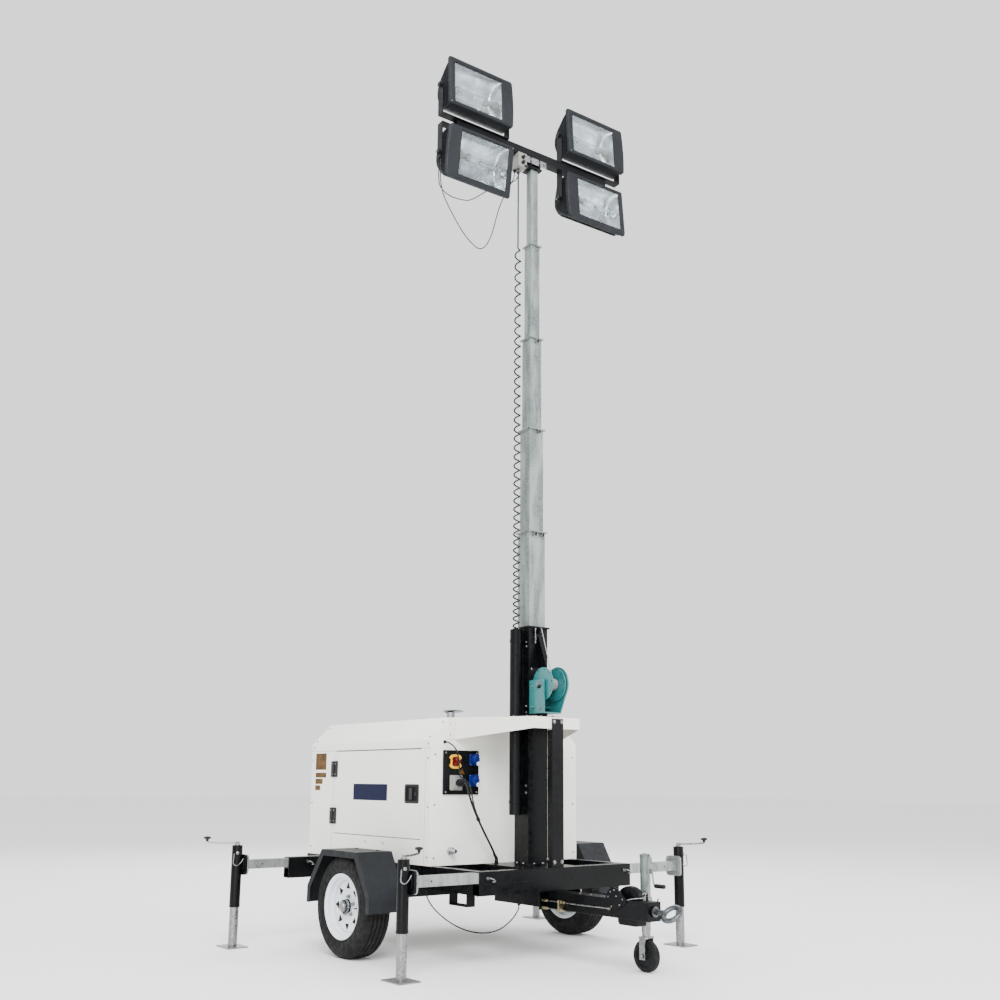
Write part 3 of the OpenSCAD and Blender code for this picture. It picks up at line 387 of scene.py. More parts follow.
def inset(outline, d):
    """The outline moved inwards by d along the bisector at each point."""
    before, after = np.roll(outline, 1, 0), np.roll(outline, -1, 0)
    a = outline - before
    b = after - outline
    a = a / np.maximum(np.linalg.norm(a, axis=1, keepdims=True), 1e-9)
    b = b / np.maximum(np.linalg.norm(b, axis=1, keepdims=True), 1e-9)
    na = np.stack([-a[:, 1], a[:, 0]], -1)
    nb = np.stack([-b[:, 1], b[:, 0]], -1)
    mid = na + nb
    return outline + mid * (d / np.maximum((mid * mid).sum(1, keepdims=True) / 2, 0.5))


def stack(levels, loop=False):
    """A skin over flat outlines, each at its own height: (outline, z) pairs."""
    return skin([np.column_stack([o, np.full(len(o), z)]) for o, z in levels], loop=loop)


def hoop(*levels):
    """A ring of rounded rectangles, joined in turn: (width, height, corner radius, z) each."""
    return stack([(outline_box(w, h, r), z) for w, h, r, z in levels], loop=True)


def plate(outline, z0, z1, edge=0.0):
    """An outline carried from z0 to z1, with its rims chamfered by edge."""
    outline = np.asarray(outline, float)
    levels = [(outline, z0), (outline, z1)]
    if edge:
        small = inset(outline, edge)
        levels = [(small, z0), (outline, z0 + edge), (outline, z1 - edge), (small, z1)]
    return stack(levels)


def block(low, high, r=0.002):
    """A box between two corners: its four z edges are arcs of radius r and its rims are chamfered."""
    low, high = np.minimum(low, high), np.maximum(low, high)
    mid, size = (low + high) / 2, high - low
    edge = min(r, 0.0015, size.min() * 0.3)
    return shift(plate(outline_box(size[0], size[1], r, 4), -size[2] / 2, size[2] / 2, edge), *mid)


def turned(profile, k=48, loop=True):
    """A profile of (radius, height) points turned round z, and closed on itself."""
    profile = np.asarray(profile, float)
    a = angles(k)
    r, z = profile[:, :1], profile[:, 1:]
    return skin(np.stack([r * np.cos(a), r * np.sin(a), z + 0 * a], -1), False, loop)


def spun(profile, k=48):
    """A profile that starts and ends on the axis, turned round z."""
    return turned(profile, k, False)


def disc(r, h, k=20):
    """A flat round slug."""
    return spun([(0, 0), (r, 0), (r, h), (0, h)], k)


def hexagon(r):
    """Six points on a circle."""
    return outline_disc(r, 6)


def rod(r, z0, z1, edge=0.001, k=28):
    """A round bar along z with chamfered ends."""
    edge = min(edge, r * 0.4, abs(z1 - z0) * 0.4)
    return spun([(0, z0), (r - edge, z0), (r, z0 + edge), (r, z1 - edge), (r - edge, z1), (0, z1)], k)


def smooth_path(points, each=8):
    """A Catmull-Rom curve through the points, each steps between neighbours."""
    p = np.asarray(points, float)
    q = np.concatenate([2 * p[:1] - p[1:2], p, 2 * p[-1:] - p[-2:-1]])
    t = np.linspace(0, 1, each, endpoint=False)[None, :, None]
    a, b, c, d = q[:-3, None], q[1:-2, None], q[2:-1, None], q[3:, None]
    curve = 0.5 * (2 * b + (c - a) * t + (2 * a - 5 * b + 4 * c - d) * t ** 2
                   + (3 * b - a - 3 * c + d) * t ** 3)
    return np.concatenate([curve.reshape(-1, p.shape[1]), p[-1:]])


def frames(path):
    """Tangents and two cross directions along a path, the first one carried on without twist."""
    path = np.asarray(path, float)
    tang = np.gradient(path, axis=0)
    tang /= np.linalg.norm(tang, axis=1, keepdims=True)
    side = np.cross(tang[0], [0, 0, 1.0] if abs(tang[0][2]) < 0.9 else [1.0, 0, 0])
    sides = [side / np.linalg.norm(side)]
    for t in tang[1:]:
        s = sides[-1] - t * (sides[-1] @ t)
        sides.append(s / np.linalg.norm(s))
    sides = np.array(sides)
    return tang, sides, np.cross(tang, sides)


def tube(path, radius, k=12):
    """Circles of radius, or of a radius for each point, carried along a path."""
    path = np.asarray(path, float)
    _, side, up = frames(path)
    a = angles(k)[None, :, None]
    r = np.broadcast_to(np.asarray(radius, float), (len(path),))[:, None, None]
    return skin(path[:, None] + r * (side[:, None] * np.cos(a) + up[:, None] * np.sin(a)))


def piece(name, shape, body, material, bend=38, bevel=0.0):
    """Makes one mesh object: doubles merged, faces outwards, sharp edges above bend degrees.

    It rides on a body, if any.
    """
    mesh = bpy.data.meshes.new(name)
    points, faces = shape
    mesh.from_pydata(points.tolist(), [], faces)
    work = bmesh.new()
    work.from_mesh(mesh)
    bmesh.ops.remove_doubles(work, verts=work.verts, dist=2e-6)
    bmesh.ops.dissolve_degenerate(work, dist=1e-6, edges=work.edges)
    bmesh.ops.recalc_face_normals(work, faces=work.faces)
    finish_mesh(work, mesh, bend)
    made = link(name, mesh)
    if bevel:
        round_edges(made, bevel, bend)
    made.data.materials.append(material)
    if body:
        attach(made, body)
    return made


def finish_mesh(work, mesh, bend):
    """Smooth faces, with edges sharp where they turn by more than bend degrees."""
    for face in work.faces:
        face.smooth = True
    limit = math.radians(bend)
    for edge in work.edges:
        edge.smooth = len(edge.link_faces) == 2 and edge.calc_face_angle(0.0) < limit
    work.to_mesh(mesh)
    work.free()


def round_edges(made, width, bend):
    """Rolls the sharp edges over by a small radius, so that they catch the light."""
    roll = made.modifiers.new("edge_radius", "BEVEL")
    roll.width = width
    roll.segments = 2
    roll.limit_method = "ANGLE"
    roll.angle_limit = math.radians(bend)
    roll.harden_normals = True


DRESS_BEND = 32
BODY_OF = {node: body for body, nodes in frame["record"]["behaviour"]["bodies"].items() for node in nodes}


def dress(node, material, bevel, whole=True):
    """A welded copy of a node's mesh with rolled edges and a finish, shown in its place.

    With whole, triangles that lie in one plane become one face.
    """
    mesh = frame["nodes"][node].data.copy()
    mesh.name = node + "_finished"
    work = bmesh.new()
    work.from_mesh(mesh)
    bmesh.ops.remove_doubles(work, verts=work.verts, dist=1e-5)
    if whole:
        bmesh.ops.dissolve_limit(work, angle_limit=math.radians(0.6), verts=work.verts, edges=work.edges)
    finish_mesh(work, mesh, DRESS_BEND)
    made = link(node + "_finished", mesh)
    if bevel:
        round_edges(made, bevel, DRESS_BEND)
    mesh.materials.clear()
    mesh.materials.append(material)
    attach(made, BODY_OF[node])
    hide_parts(node)
    return made


# Floor
def make_floor():
    """A square sheet, far larger than the object, at the floor's height."""
    half = 60.0
    mesh = bpy.data.meshes.new("floor")
    mesh.from_pydata([(-half, -half, 0), (half, -half, 0), (half, half, 0), (-half, half, 0)], [],
                     [(0, 1, 2, 3)])
    made = link("floor", mesh)
    made.data.materials.append(Finish("pale_floor", "#f7f7f6", 0.9).material)


make_floor()
world = bpy.data.worlds.new("pale_room")
world.use_nodes = True
world.node_tree.nodes["Background"].inputs["Color"].default_value = linear("#f4f5f6")
world.node_tree.nodes["Background"].inputs["Strength"].default_value = 1.7
bpy.context.scene.world = world

# The mast's own frame: its axis at the origin, facing forwards before its turn
MAST_AT = np.array([0.239, 0.0, 0.0])
MAST_TURN = math.radians(4.6)
MAST_X = np.array([math.cos(MAST_TURN), -math.sin(MAST_TURN), 0.0])
MAST_Y = np.array([math.sin(MAST_TURN), math.cos(MAST_TURN), 0.0])


def on_mast(*shapes):
    """The surfaces as one, set down in the mast's frame."""
    return lay(join(*shapes), MAST_AT, MAST_X, MAST_Y)


def mast_points(points):
    """Points of the mast's frame, in the frame of the whole object."""
    return MAST_AT + np.asarray(points, float) @ np.array([MAST_X, MAST_Y, UP])


# Cords: every route repeats the one in the part's source, in metres
def leads():
    """Plain round cables: a circle carried along a smooth curve through the route's points."""
    routes = {
        "panel_lead": (PANEL_ROUTE, 0.014, "trailer", "plug", "medium"),
        "underbody_lead": (BRAKE_ROUTE, 0.008, "trailer", "object", "medium"),
        "lamp_lead_long": (LONG_ROUTE, 0.007, "section_5", "object", "limp"),
        "lamp_lead_short": (SHORT_ROUTE, 0.007, "section_5", "object", "limp")}
    for node, (route, thick, body, end, stiff) in routes.items():
        path = smooth_path(np.array(route) * MM, 4)
        cable = piece(node + "_cable", tube(path, thick / 2, 14), body, CABLE_SKIN, 60)
        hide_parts(node)


PANEL_ROUTE = [[48, -125.5, 568.6], [48, -126, 586], [52, -141, 603], [57, -157, 628], [64, -179, 656],
               [72, -204, 686], [80, -231, 718], [88, -259, 752], [95, -287, 788], [102, -314, 825],
               [108, -340, 862], [113, -364, 900], [117, -384, 935], [119, -400, 970], [120, -412, 1000],
               [119, -421, 1026], [115, -426, 1043], [106, -430, 1056], [92, -430, 1056]]
BRAKE_ROUTE = [[-60, -590, 403.6], [-60, -590, 385], [-56, -580, 352], [-44, -556, 310], [-24, -520, 268],
               [2, -478, 228], [32, -430, 194], [66, -378, 168], [98, -324, 153], [128, -270, 150],
               [150, -216, 158], [164, -164, 178], [171, -116, 208], [171, -76, 240], [166, -48, 266],
               [161, -33, 284], [160, -31, 299.5]]
LONG_ROUTE = [[201.4, -779.5, 5175.6], [201.4, -779.5, 5155], [201.4, -779.5, 5120], [201.4, -778.5, 5060],
              [201.6, -772, 4988], [203, -745, 4900], [206, -683, 4805], [208, -606, 4710], [208, -520, 4642],
              [200, -440, 4625], [185, -370, 4680], [170, -310, 4790], [157, -265, 4920], [150, -228, 5030],
              [155, -193, 5120], [168, -162, 5195], [186, -140, 5250], [200.3, -131.3, 5295],
              [200.3, -131.3, 5316.6]]
SHORT_ROUTE = [[181.4, -777.9, 5175.6], [181.4, -777.9, 5150], [181.2, -777.5, 5090], [181, -776, 5030],
               [181, -767, 4985], [178, -730, 4955], [170, -665, 4945], [155, -590, 4960], [125, -520, 4990],
               [85, -455, 5030], [45, -390, 5080], [15, -325, 5135], [5, -265, 5190], [15, -215, 5232],
               [55, -165, 5258], [105, -130, 5266], [152, -112, 5270], [188, -103, 5281],
               [202.7, -101.4, 5303], [202.7, -101.4, 5316.6]]
LEAD_PLUG = dress("lead_plug", BLACK_PLASTIC, 0.0015)
leads()

# Curly cord of the mast: its coil, in the mast's frame
CURL_AT = -0.122
CURL_R = 0.0195
CURL_THICK = 0.0108
CURL_LOW = 1.94
CURL_HIGH = 4.74
CURL_END = 5.3145


def curly_cord():
    """A helix whose pitch grows by the same share at each turn, from 45 to 85 mm, then a straight run up."""
    low_pitch, high_pitch = 0.045, 0.085
    grow = (high_pitch - low_pitch) / (CURL_HIGH - CURL_LOW)
    z = np.linspace(CURL_LOW, CURL_HIGH, 900)
    turn = 2 * math.pi / grow * np.log((low_pitch + grow * (z - CURL_LOW)) / low_pitch)
    r = CURL_R * np.clip((CURL_HIGH - z) / 0.05, 0.0, 1.0) ** 0.7
    coil = np.stack([r * np.cos(turn), CURL_AT + r * np.sin(turn), z], -1)
    top = np.stack([np.zeros(12), np.full(12, CURL_AT), np.linspace(CURL_HIGH + 0.03, CURL_END, 12)], -1)
    path = mast_points(np.concatenate([coil, top]))
    cord = piece("curly_cord", tube(path, CURL_THICK / 2, 8), None, CABLE_SKIN, 60)
    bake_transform(cord)
    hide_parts("spiral_cord")


curly_cord()

# Lamps. Each is made in its own frame, x to its face, y along it and z up, from its pivot
LAMP_W = 0.515
LAMP_H = 0.363
FACE_X = 0.095
BEZEL_BACK = FACE_X - 0.032
GLASS_LOW = np.array([-LAMP_W / 2 + 0.036, -LAMP_H / 2 + 0.020])
GLASS_HIGH = np.array([LAMP_W / 2 - 0.086, LAMP_H / 2 - 0.030])
GLASS_MID = (GLASS_LOW + GLASS_HIGH) / 2
GLASS_SIZE = GLASS_HIGH - GLASS_LOW
CHEEK_Y = LAMP_W / 2 - 0.012
BELLY = (0.040, -0.010, 0.136)
BAR_Z = 5.470
PIVOT_X = 0.015
PIVOT_Y = 0.508
PIVOT_RISE = 0.252
# Side, row and tilt in degrees of each lamp
LAMPS = {"upper_right": (-1, 1, -3), "lower_right": (-1, -1, 8), "upper_left": (1, 1, -4),
         "lower_left": (1, -1, -5)}


def lamp_frame(side, row, tilt):
    """Origin and axes of a lamp: the mast's frame, tipped by tilt about y, the lower row turned over."""
    a = math.radians(tilt)
    x = MAST_X * math.cos(a) - UP * math.sin(a)
    z = MAST_X * math.sin(a) + UP * math.cos(a)
    at = mast_points([(PIVOT_X, side * PIVOT_Y, BAR_Z + row * PIVOT_RISE)])[0]
    return at, x, MAST_Y * row, z * row


def bezel_ring(w, h, r, at, x, bow=0.0):
    """A rounded rectangle round at: 6 points a corner and 18 a side, its broad side bowed out by bow."""
    outline = outline_box(w, h, r, 6)
    share = np.linspace(0, 1, 20)[1:-1, None]
    parts = []
    for i in range(4):
        edge = outline[i * 6:i * 6 + 6]
        ahead = outline[(i * 6 + 6) % 24]
        parts += [edge, edge[-1] + (ahead - edge[-1]) * share]
    yz = np.concatenate(parts)
    out = np.clip(yz[:, 0] / (w / 2), 0, 1) ** 8 * bow * (1 - (yz[:, 1] / (h / 2)) ** 2)
    return np.column_stack([np.full(len(yz), x), yz[:, 0] + out + at[0], yz[:, 1] + at[1]])


def bezel():
    """A frame closed on itself: like outlines round the rim and round the glass, joined by chamfers."""
    rim = [(0.006, 0.012, BEZEL_BACK, 0.008), (0, 0.014, BEZEL_BACK + 0.003, 0.009),
           (0, 0.014, FACE_X - 0.005, 0.009), (0.007, 0.012, FACE_X - 0.001, 0.008),
           (0.012, 0.010, FACE_X, 0.007)]
    opening = [(0.010, 0.009, FACE_X), (0.002, 0.006, FACE_X - 0.003), (0.0, 0.005, FACE_X - 0.016),
               (0.014, 0.005, BEZEL_BACK)]
    rings = [bezel_ring(LAMP_W - d, LAMP_H - d, r, (0, 0), x, bow) for d, r, x, bow in rim]
    rings += [bezel_ring(*(GLASS_SIZE + d), r, GLASS_MID, x) for d, r, x in opening]
    return skin(rings, loop=True)


def gasket():
    """A black rubber frame round the glass, just behind the bezel's face."""
    w, h = GLASS_SIZE
    steps = ((0.001, -0.0025), (-0.010, -0.0028), (-0.010, -0.0034), (0.001, -0.0034))
    return lay(hoop(*[(w + d, h + d, 0.006, x) for d, x in steps]), (FACE_X, *GLASS_MID), LEFT, UP, FORWARD)


def side_outline(d=0.0):
    """Behind the bezel: a line to the back, the belly's arc, and back along the top. x and z, inset by d."""
    x0, z0, r = BELLY
    half = LAMP_H / 2 - 0.008 - d
    arc = polar(r - d, np.radians(np.linspace(-162, -231, 26)), (x0, z0))
    under = np.array([(BEZEL_BACK + 0.004, -half), (0.012, -half), (0.5 * d - 0.028, 0.008 - half),
                      (0.8 * d - 0.060, 0.036 - half)])
    over = np.array([(0.025, half - 0.022), (BEZEL_BACK + 0.004, half)])
    return np.concatenate([under, arc, over])


def along_y(outline, y0, y1):
    """A closed outline of x and z carried from y0 to y1, with lids."""
    return skin([np.column_stack([outline[:, 0], np.full(len(outline), y), outline[:, 1]]) for y in (y0, y1)])


FIN_OUTLINE = np.array([(22, 162), (-20, 133), (-50, 107), (-84, 66), (-103, 18), (-107, -22), (-90, -22),
                        (-60, 40), (0, 120)]) * MM


def housing():
    """The trough of the housing, 4 mm thick, with 30 cooling fins over its back and top."""
    shell = np.concatenate([side_outline(0), side_outline(0.004)[::-1]])
    fins = [along_y(FIN_OUTLINE, y - 0.0015, y + 0.0015) for y in np.linspace(-0.228, 0.228, 30)]
    return join(along_y(shell, -CHEEK_Y + 0.002, CHEEK_Y - 0.002), *fins)


def inside(outline, points):
    """Which points lie in the outline: a ray along x meets its edges an odd number of times."""
    a, b = outline[None], np.roll(outline, -1, 0)[None]
    p = points[:, None]
    crosses = (a[..., 1] > p[..., 1]) != (b[..., 1] > p[..., 1])
    at = a[..., 0] + (p[..., 1] - a[..., 1]) * (b[..., 0] - a[..., 0]) / (b[..., 1] - a[..., 1] + 1e-12)
    return (crosses & (p[..., 0] < at)).sum(1) % 2 == 1


def cheek(side):
    """A cheek's rim, and its wall set 5 mm into it, which make_lamp gives painted shade behind the louvres.
    """
    outer, inner = side_outline(), side_outline(0.017)
    y0, y1 = side * (CHEEK_Y - 0.006), side * CHEEK_Y
    levels = ((outer, y0), (outer, y1 - side * 0.001), (side_outline(0.001), y1), (inner, y1), (inner, y0))
    rings = [np.column_stack([o[:, 0], np.full(len(o), y), o[:, 1]]) for o, y in levels]
    wall = along_y(side_outline(0.012), side * (CHEEK_Y - 0.0075), side * (CHEEK_Y - 0.005))
    return skin(rings, loop=True), wall


LOUVRE_MID = np.array([0.0, -0.005])
LOUVRE_HALF = 0.0042


def louvres(side):
    """Slanted blades across a cheek, each as long as the cheek is there."""
    slant = math.radians(-50 * side)
    run = np.array([math.cos(slant), math.sin(slant)])
    across = np.array([-run[1], run[0]])
    wide = across * LOUVRE_HALF
    room = side_outline(0.016)
    t = np.arange(-0.25, 0.25, 0.002)
    blades = []
    for c in np.linspace(-0.125, 0.125, 12):
        line = LOUVRE_MID + across * c + t[:, None] * run
        keep = t[inside(room, line) & (np.abs(line[:, 0] + 0.018) < 0.062)]
        if len(keep) < 6:
            continue
        low, high = LOUVRE_MID + across * c + np.array([[keep[0]], [keep[-1]]]) * run
        blade = np.array([low - wide, high - wide, high + wide, low + wide])
        blades.append(along_y(blade, side * (CHEEK_Y - 0.006), side * (CHEEK_Y - 0.0008)))
    return join(*blades)


def reflector():
    """A trough as deep as a half ellipse is, its ends sloping up to the glass over a fifth of its length."""
    mid, half = GLASS_MID, GLASS_SIZE / 2 - (0.001, 0.004)
    v = np.linspace(-1, 1, 49)[:, None]
    s = np.sin(np.linspace(-math.pi / 2, math.pi / 2, 41))[None, :]
    deep = 0.108 * np.sqrt(1 - s ** 2 * 0.999) * np.minimum(1, (1 - np.abs(v)) / 0.2) ** 0.8
    grid = np.stack([FACE_X - 0.013 - deep, mid[0] + half[0] * v + 0 * s, mid[1] + half[1] * s + 0 * v], -1)
    n, k = grid.shape[:2]
    index = np.arange(n * k).reshape(n, k)
    faces = np.stack([index[:-1, :-1], index[1:, :-1], index[1:, 1:], index[:-1, 1:]], -1).reshape(-1, 4)
    return grid.reshape(-1, 3), faces.tolist()


BULB_AT = (0.030, -0.018)


def bulb():
    """The clear outer tube, domed at one end, with its inner arc tube."""
    at = (BULB_AT[0], GLASS_LOW[0] + 0.030, BULB_AT[1])
    outer = [(0, 0), (0.014, 0.003), (0.021, 0.012), (0.023, 0.026), (0.023, 0.25), (0.019, 0.262),
             (0.019, 0.27),
             (0.017, 0.27), (0.017, 0.262), (0.0215, 0.248), (0.0215, 0.026), (0.0195, 0.013), (0, 0.002)]
    inner = [(0, 0.05), (0.006, 0.052), (0.011, 0.062), (0.011, 0.16), (0.006, 0.17), (0, 0.172)]
    return join(facing(spun(outer, 32), at, LEFT), facing(spun(inner, 24), at, LEFT))


def bulb_holder():
    """The screw base and its ceramic holder, with two supporting rings."""
    at = (BULB_AT[0], GLASS_LOW[0] + 0.30, BULB_AT[1])
    base = [(0, 0), (0.018, 0), (0.019, 0.004)]
    base += [(0.018 + 0.0012 * (i % 2), 0.006 + 0.004 * i) for i in range(8)]
    base += [(0.027, 0.040), (0.029, 0.044), (0.029, 0.082), (0, 0.082)]
    ring = [(0.0235, -0.003), (0.028, -0.003), (0.028, 0.003), (0.0235, 0.003)]
    rings = [facing(turned(ring, 32), (BULB_AT[0], GLASS_LOW[0] + y, BULB_AT[1]), LEFT)
             for y in (0.055, 0.29)]
    return join(facing(spun(base, 28), at, LEFT), *rings)


def lobed(r, lobes=5, k=60):
    """A circle that swells and shrinks by a tenth, lobes times round."""
    a = angles(k)
    return polar(r * (0.92 + 0.09 * np.cos(lobes * a)), a)


def tilt_knobs():
    """A black lobed knob with its neck outside each arm of the yoke."""
    made = []
    for s in (-1, 1):
        base = s * (LAMP_W / 2 + 0.0184)
        way = (0, s, 0)
        made.append(facing(rod(0.0115, 0, 0.006), (0, base, 0), way))
        made.append(facing(plate(lobed(0.0185), 0.005, 0.0185, 0.003), (0, base, 0), way))
    return join(*made)


def screw_cap(r):
    """A raised round head with its rim rolled over."""
    return spun([(0, 0), (r, 0), (r, 0.35 * r), (0.82 * r, 0.62 * r), (0.4 * r, 0.72 * r), (0, 0.74 * r)], 16)


def make_lamp(name, side, row, tilt):
    """One lamp: casting, cheeks, gasket, reflector, tube and knobs, all riding on its body."""
    at, x, y, z = lamp_frame(side, row, tilt)
    body = name + "_lamp"

    def set_down(part, shape, material, bend=38, bevel=0.0):
        """Names the part, turns it into the lamp's frame and makes it."""
        return piece("%s_%s" % (body, part), lay(shape, at, x, y, z), body, material, bend, bevel)

    ear = block((BEZEL_BACK + 0.004, -LAMP_W / 2 + 0.001, LAMP_H / 2 - 0.030),
                (FACE_X - 0.008, -LAMP_W / 2 + 0.016, LAMP_H / 2 + 0.0005), 0.004)
    rims, walls, blades = [], [], []
    for s in (-1, 1):
        rim, wall = cheek(s)
        rims.append(rim)
        walls.append(wall)
        blades.append(louvres(s))
    shell = set_down("casting", join(bezel(), ear, housing(), *rims), LAMP_COAT, 30)
    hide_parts("lamp_" + name)
    # Painted shade: the cheek walls are near-black so that the gaps between the louvres look dark
    set_down("cheek_walls", join(*walls), PAINTED_SHADE_BLACK)
    set_down("louvres", join(*blades), LAMP_COAT, 30, 0.0006)
    set_down("gasket", gasket(), RUBBER)
    set_down("reflector", reflector(), REFLECTOR, 70)
    set_down("tube_glass", bulb(), GLASS, 50)
    set_down("tube_holder", bulb_holder(), CERAMIC, 40)
    set_down("knobs", tilt_knobs(), BLACK_PLASTIC, 35)
    screw_at = (FACE_X, -LAMP_W / 2 + 0.011, -LAMP_H / 2 + 0.011)
    set_down("catch_screws", facing(screw_cap(0.0045), screw_at, (1, 0, 0)), BRIGHT_ZINC)
    dress("glass_" + name, GLASS, 0.0)


for lamp_name, (lamp_side, lamp_row, lamp_tilt) in LAMPS.items():
    make_lamp(lamp_name, lamp_side, lamp_row, lamp_tilt)


# Fasteners, each on the surface at a point, facing along a direction
def hex_head(r):
    """A hexagon head with its washer: the washer reaches 1.35 r and the head is 0.7 r high."""
    washer = spun([(0, 0), (1.3 * r, 0), (1.35 * r, 0.06 * r), (1.3 * r, 0.18 * r), (0, 0.18 * r)], 20)
    return join(washer, shift(plate(hexagon(r), 0.0, 0.7 * r, 0.12 * r), 0, 0, 0.15 * r))


def heads(places, shape=hex_head):
    """Fasteners at (point, direction, radius), as one surface."""
    return join(*[facing(shape(r), at, way, 11 * i) for i, (at, way, r) in enumerate(places)])


SECTION_W = [0.128, 0.112, 0.094, 0.076, 0.058]
SECTION_TOP = [2.700, 3.415, 4.072, 4.769, 5.351]


def roller(r, w):
    """A grooved rope roller on its pin, along z, centred."""
    rim = [(0.35 * r, -w / 2), (r, -w / 2), (r, -w / 2 + 0.0015), (0.78 * r, 0), (r, w / 2 - 0.0015),
           (r, w / 2), (0.35 * r, w / 2)]
    return turned(rim, 28)


def rope_block(x, y, z, r, w):
    """Two cheeks with round lower ends, a roller between them and a pin through all three. z is the top."""
    wide = r * 1.12
    arc = polar(wide, np.linspace(math.pi, 2 * math.pi, 12))
    outline = np.concatenate([arc, [(wide, r), (-wide, r)]])
    at = (x, y, z - r)
    cheeks = [lay(plate(outline, s * w / 2, s * (w / 2 + 0.003)), at, FORWARD, UP, RIGHT) for s in (-1, 1)]
    pin = facing(rod(0.25 * r, -w / 2 - 0.006, w / 2 + 0.006, 0.001, 14), at, LEFT)
    return join(*cheeks, pin), facing(roller(r, w - 0.002), at, LEFT)


# Section, y and roller's radius of each rope block
BLOCKS = [(1, -0.030, 0.0125), (1, 0.030, 0.0125), (2, 0.010, 0.0105), (3, 0.0, 0.0125)]


def mast_fittings():
    """On each section: rope blocks under its collar, screws in the collar and pads that show at its mouth."""
    for number in range(1, 5):
        body = "section_%d" % number
        w, top = SECTION_W[number - 1] / 2, SECTION_TOP[number - 1]
        inner = SECTION_W[number] / 2
        blocks, rollers = [], []
        for which, y, r in BLOCKS:
            if which == number:
                cheeks, wheel = rope_block(w + r + 0.004, y, top - 0.0105, r, 0.016)
                blocks.append(cheeks)
                rollers.append(wheel)
        if blocks:
            piece("rope_blocks_%d" % number, on_mast(*blocks), body, BRIGHT_ZINC, 35, 0.0004)
            piece("rope_rollers_%d" % number, on_mast(*rollers), body, BLACK_PLASTIC, 35)
        pads = [block((s * (inner + 0.001), -0.018, top - 0.001),
                      (s * (inner + 0.012), 0.018, top + 0.003), 0.001)
                for s in (-1, 1)]
        piece("slide_pads_%d" % number, on_mast(*pads), body, BLACK_PLASTIC)
        out, z, pair = w + 0.0002, top - 0.026, (-0.022, 0.022)
        screws = [((s * out, d, z), (s, 0, 0), 0.0045) for s in (-1, 1) for d in pair if s < 0 or not blocks]
        screws += [((d, s * out, z), (0, s, 0), 0.0045) for s in (-1, 1) for d in pair]
        piece("pad_screws_%d" % number, on_mast(heads(screws)), body, BRIGHT_ZINC, 35)


mast_fittings()

# Foot of the mast: bracket, rope anchor, bolts and the rope to the winch
BASE_W = 0.150
ROLLER_AT = (0.096, 0.0, 2.029)
DRUM_AT = (0.194, 0.0, 1.675)


def mast_foot():
    """The foot's rope block, the anchor rod, bolts, the turntable's screws and the canister's bands."""
    w = BASE_W / 2
    cheeks, wheel = rope_block(ROLLER_AT[0], 0.0, 2.047, 0.019, 0.026)
    piece("foot_block", on_mast(cheeks), "mast", BLACK_COAT, 35, 0.0005)
    piece("foot_roller", on_mast(wheel), "mast", BLACK_PLASTIC, 35)
    thread = [(0.0040 + 0.0007 * (i % 2), 1.945 + 0.0022 * i) for i in range(46)]
    bar = spun([(0, 1.943)] + thread + [(0, 2.047)], 16)
    nuts = [plate(hexagon(0.0085), z, z + 0.008, 0.001) for z in (1.968, 2.036)]
    piece("rope_anchor", on_mast(shift(join(bar, *nuts), w + 0.012, -0.030)), "mast", BRIGHT_ZINC, 35)
    places = [((w, -0.052, 1.78), FORWARD, 0.006)]
    places += [((0.048, -w, z), RIGHT, 0.0068) for z in (0.997, 1.040, 1.500, 1.540, 1.925, 1.955)]
    places += [((*polar(0.088, a), 0.5643), UP, 0.008) for a in np.radians(np.arange(8) * 45 + 22)]
    piece("foot_bolts", on_mast(heads(places)), "mast", BRIGHT_ZINC, 35)
    ring = [((*polar(0.176, a), 1.4733), UP, 0.0065) for a in np.radians(np.arange(12) * 30 + 15)]
    piece("turntable_screws", on_mast(heads(ring)), "mast", BRIGHT_ZINC, 35)
    band = [(0.0405, 0), (0.0425, 0.001), (0.0425, 0.021), (0.0405, 0.022)]
    bands = [shift(turned(band, 40), 0, CURL_AT, z) for z in (0.93, 1.45, 1.95)]
    piece("canister_bands", on_mast(*bands), "mast", BLACK_COAT, 35)


ROPE_R = 0.003
ROPE_TURNS = 13
ROPE_SLANT = 0.35
DRUM_ROPE_R = 0.0372
ROLLER_ROPE_R = 0.0195


def winch_rope():
    """A taut laid rope from the drum over the foot roller, and its close turns on the drum."""
    turn = np.linspace(0, ROPE_TURNS * 2 * math.pi, ROPE_TURNS * 26)
    coil = round_y(DRUM_AT, DRUM_ROPE_R, turn + 0.5, -0.041 + 0.082 * turn / turn[-1])
    low = round_y(DRUM_AT, DRUM_ROPE_R + 0.006, ROPE_SLANT)
    top = round_y(ROLLER_AT, ROLLER_ROPE_R, ROPE_SLANT)
    line = low + (top - low) * np.linspace(0, 1, 40)[:-1, None]
    bend = round_y(ROLLER_AT, ROLLER_ROPE_R, np.linspace(ROPE_SLANT, math.pi, 12))
    down = np.array([(ROLLER_AT[0] - ROLLER_ROPE_R, 0, ROLLER_AT[2] - d) for d in (0.008, 0.02)])
    rope_piece("winch_rope_line", np.concatenate([line, bend, down]), "mast")
    rope_piece("winch_rope_turns", coil, "winch")


